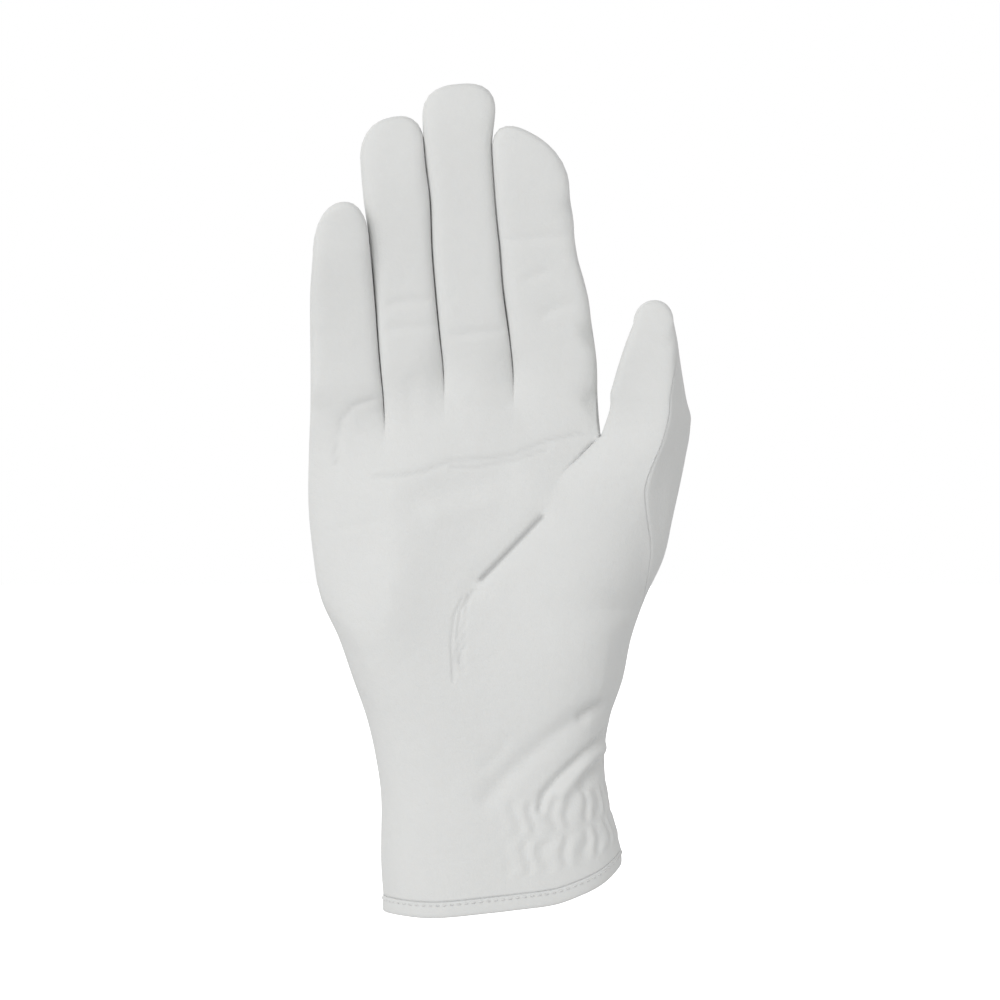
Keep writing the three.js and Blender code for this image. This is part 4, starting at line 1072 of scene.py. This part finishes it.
def leather_material(looks, name, grain=1.0, tone=1.0):
    """Fine white glove leather: cloudy tone, shade painted into the narrow creases, pores and hair-line grain,
    a suede inside.
    """
    material, tree = new_material(name)
    place = tree.nodes.new("ShaderNodeTexCoord").outputs["Object"]

    def noise(values):
        return new_node(tree, "ShaderNodeTexNoise", {"Vector": place, **values}).outputs["Fac"]

    def attribute(label):
        node = tree.nodes.new("ShaderNodeAttribute")
        node.attribute_name = label
        return node.outputs["Fac"]

    clouded = blend(tree, noise(CLOUDS), opaque(looks.leather_colour, tone),
                    opaque(looks.leather_colour, tone * CLOUD_TONE))
    # Painted shade: the leather is darkened towards the crease shade colour in the narrow creases
    darkness = spread(tree, attribute("crease_shade"), 0.0, CREASE_SHADE_STRENGTH)
    creased = blend(tree, darkness, clouded, opaque(looks.crease_shade_colour))
    coloured = blend(tree, attribute("inside"), creased, opaque(looks.lining_colour))
    low, high = (looks.leather_roughness + change for change in ROUGHNESS_CHANGES)
    roughness = spread(tree, noise(PATCHES), low, high)

    pores = tree.nodes.new("ShaderNodeTexVoronoi")
    pores.feature = "DISTANCE_TO_EDGE"
    fill(tree, pores, {"Vector": place, "Scale": PORE_SCALE})
    fine = bump(tree, pores.outputs["Distance"], PORE_BUMP[0] * grain, PORE_BUMP[1])
    soft = bump(tree, noise(SOFT_GRAIN), SOFT_BUMP[0] * grain, SOFT_BUMP[1], fine)
    fill(tree, tree.nodes["Principled BSDF"],
         {**LEATHER_FINISH, "Base Color": coloured, "Roughness": roughness, "Normal": soft})
    return material


def thread_material(looks):
    """Twisted sewing thread: a fine slanted wave in its bump and a little tone change."""
    material, tree = new_material("sewing_thread")
    twist = tree.nodes.new("ShaderNodeTexWave")
    twist.bands_direction = "DIAGONAL"
    place = tree.nodes.new("ShaderNodeTexCoord").outputs["Object"]
    wave = fill(tree, twist, {"Vector": place, **THREAD_TWIST}).outputs["Fac"]
    tone = blend(tree, wave, opaque(looks.thread_colour), opaque(looks.thread_colour, THREAD_SHADE))
    fill(tree, tree.nodes["Principled BSDF"],
         {"Roughness": THREAD_ROUGHNESS, "Base Color": tone, "Normal": bump(tree, wave, *THREAD_BUMP)})
    return material


def settings(context):
    """The glove's sizes and looks, as set in the sidebar."""
    return context.scene.glove_sizes, context.scene.glove_looks


class GLOVE_OT_panels(bpy.types.Operator):
    """Make the leather panels and the side strips between the fingers"""

    bl_idname = "glove.panels"
    bl_label = "Make panels"

    def execute(self, context):
        sizes, looks = settings(context)
        leather = {slot: leather_material(looks, slot, *finish) for slot, finish in LEATHERS.items()}
        for node, sheet in build_sheets(GloveForm(sizes)).items():
            slot = PANEL_SLOTS.get(node, STRIP_SLOT)
            piece = add_object(f"{node}_leather", panel_mesh(node, sheet, sizes.wall), node)
            piece.data.materials.append(leather[slot])
        return {"FINISHED"}


class GLOVE_OT_hem(bpy.types.Operator):
    """Make the folded hem round the wrist opening and its row of stitches"""

    bl_idname = "glove.hem"
    bl_label = "Make hem"

    def execute(self, context):
        sizes, looks = settings(context)
        form = GloveForm(sizes)
        hem = add_object("folded_hem", hem_mesh(form), "cuff_hem")
        hem.data.materials.append(leather_material(looks, "hem_leather"))
        feet, directions = cuff_ring(form)
        line = feet + directions * (HEM_STITCH_OUT * sizes.hem_thickness / 2 - sizes.wall / 2)
        line[:, 2] = feet[:, 2] - (1 - HEM_STITCH_RISE) * sizes.hem_height
        places, outs = evenly_spaced(line, directions, sizes.stitch_pitch)
        ends = mix(places, np.roll(places, -1, axis=0), STITCH_LENGTH)
        mesh = stitch_mesh("hem_stitches", places, ends, outs, sizes.stitch_width)
        stitches = add_object("hem_stitches", mesh)
        stitches.data.materials.append(thread_material(looks))
        return {"FINISHED"}


class GLOVE_OT_stage(bpy.types.Operator):
    """Make the floor, the studio lights and the camera"""

    bl_idname = "glove.stage"
    bl_label = "Make stage"

    def execute(self, context):
        looks = settings(context)[1]
        self.make_floor(looks)
        self.make_lights()
        self.make_world()
        self.make_camera(context, looks)
        context.scene.view_settings.view_transform = "Standard"
        return {"FINISHED"}

    def make_floor(self, looks):
        """A wide pale floor that the camera sees as white."""
        half, height = looks.floor_size, looks.floor_height
        corners = [(-half, -half, height), (half, -half, height), (half, half, height), (-half, half, height)]
        mesh = bpy.data.meshes.new("floor")
        mesh.from_pydata(corners, [], [(0, 1, 2, 3)])
        floor = place_object("floor", mesh)
        material, tree = new_material("pale_floor")
        fill(tree, tree.nodes["Principled BSDF"], FLOOR_FINISH)
        floor.data.materials.append(material)
        floor.visible_diffuse = False
        floor.visible_glossy = False

    def make_lights(self):
        """A broad key light from the upper left, a weak fill from the right and a rim light from behind."""
        for name, place, size, power in LAMPS:
            lamp = bpy.data.lights.new(name, "AREA")
            lamp.size = size
            lamp.energy = power
            light = place_object(name, lamp)
            light.location = place
            direction = np.array(LAMP_AIM) - np.array(place)
            light.rotation_euler = (
                math.acos(-direction[2] / np.linalg.norm(direction)), 0,
                math.atan2(direction[1], direction[0]) - math.pi / 2)

    def make_world(self):
        """A pale world, seen as pure white by the camera."""
        world = bpy.data.worlds.new("studio")
        world.use_nodes = True
        tree = world.node_tree
        seen = tree.nodes.new("ShaderNodeLightPath").outputs["Is Camera Ray"]
        strength = spread(tree, seen, *WORLD_STRENGTHS)
        fill(tree, tree.nodes["Background"], {"Color": (1, 1, 1, 1), "Strength": strength})
        bpy.context.scene.world = world

    def make_camera(self, context, looks):
        """Looks level at the palm, with the glove where it is in the picture."""
        data = bpy.data.cameras.new("camera")
        camera = place_object("camera", data)
        data.sensor_width = SENSOR_WIDTH
        data.lens = SENSOR_WIDTH * looks.camera_distance / looks.picture_width
        per_pixel = looks.picture_width / PICTURE_PIXELS
        across = (PICTURE_PIXELS / 2 - GLOVE_COLUMN) * per_pixel
        height = (HEM_ROW - PICTURE_PIXELS / 2) * per_pixel
        camera.location = (across, -looks.camera_distance, height)
        camera.rotation_euler = (math.pi / 2, 0, 0)
        data.clip_start, data.clip_end = CLIP_RANGE
        context.scene.camera = camera


class GLOVE_PT_panel(bpy.types.Panel):
    """Sizes, looks and the steps that make the glove"""

    bl_idname = "GLOVE_PT_panel"
    bl_label = "Riding glove"
    bl_space_type = "VIEW_3D"
    bl_region_type = "UI"
    bl_category = "Glove"

    def draw(self, context):
        for group in settings(context):
            box = self.layout.box()
            for name in group.__annotations__:
                box.prop(group, name)
        for operator in OPERATORS:
            self.layout.operator(operator.bl_idname)


OPERATORS = (GLOVE_OT_panels, GLOVE_OT_hem, GLOVE_OT_stage)
CLASSES = (GloveSizes, GloveLooks, *OPERATORS, GLOVE_PT_panel)


def register():
    """Registers the classes and the scene's settings."""
    for item in CLASSES:
        bpy.utils.register_class(item)
    bpy.types.Scene.glove_sizes = PointerProperty(type=GloveSizes)
    bpy.types.Scene.glove_looks = PointerProperty(type=GloveLooks)


def unregister():
    """Takes the settings and the classes out again."""
    del bpy.types.Scene.glove_looks
    del bpy.types.Scene.glove_sizes
    for item in reversed(CLASSES):
        bpy.utils.unregister_class(item)


def main():
    """Makes the glove and its stage."""
    register()
    bpy.ops.glove.panels()
    bpy.ops.glove.hem()
    bpy.ops.glove.stage()


if __name__ == "__main__":
    main()
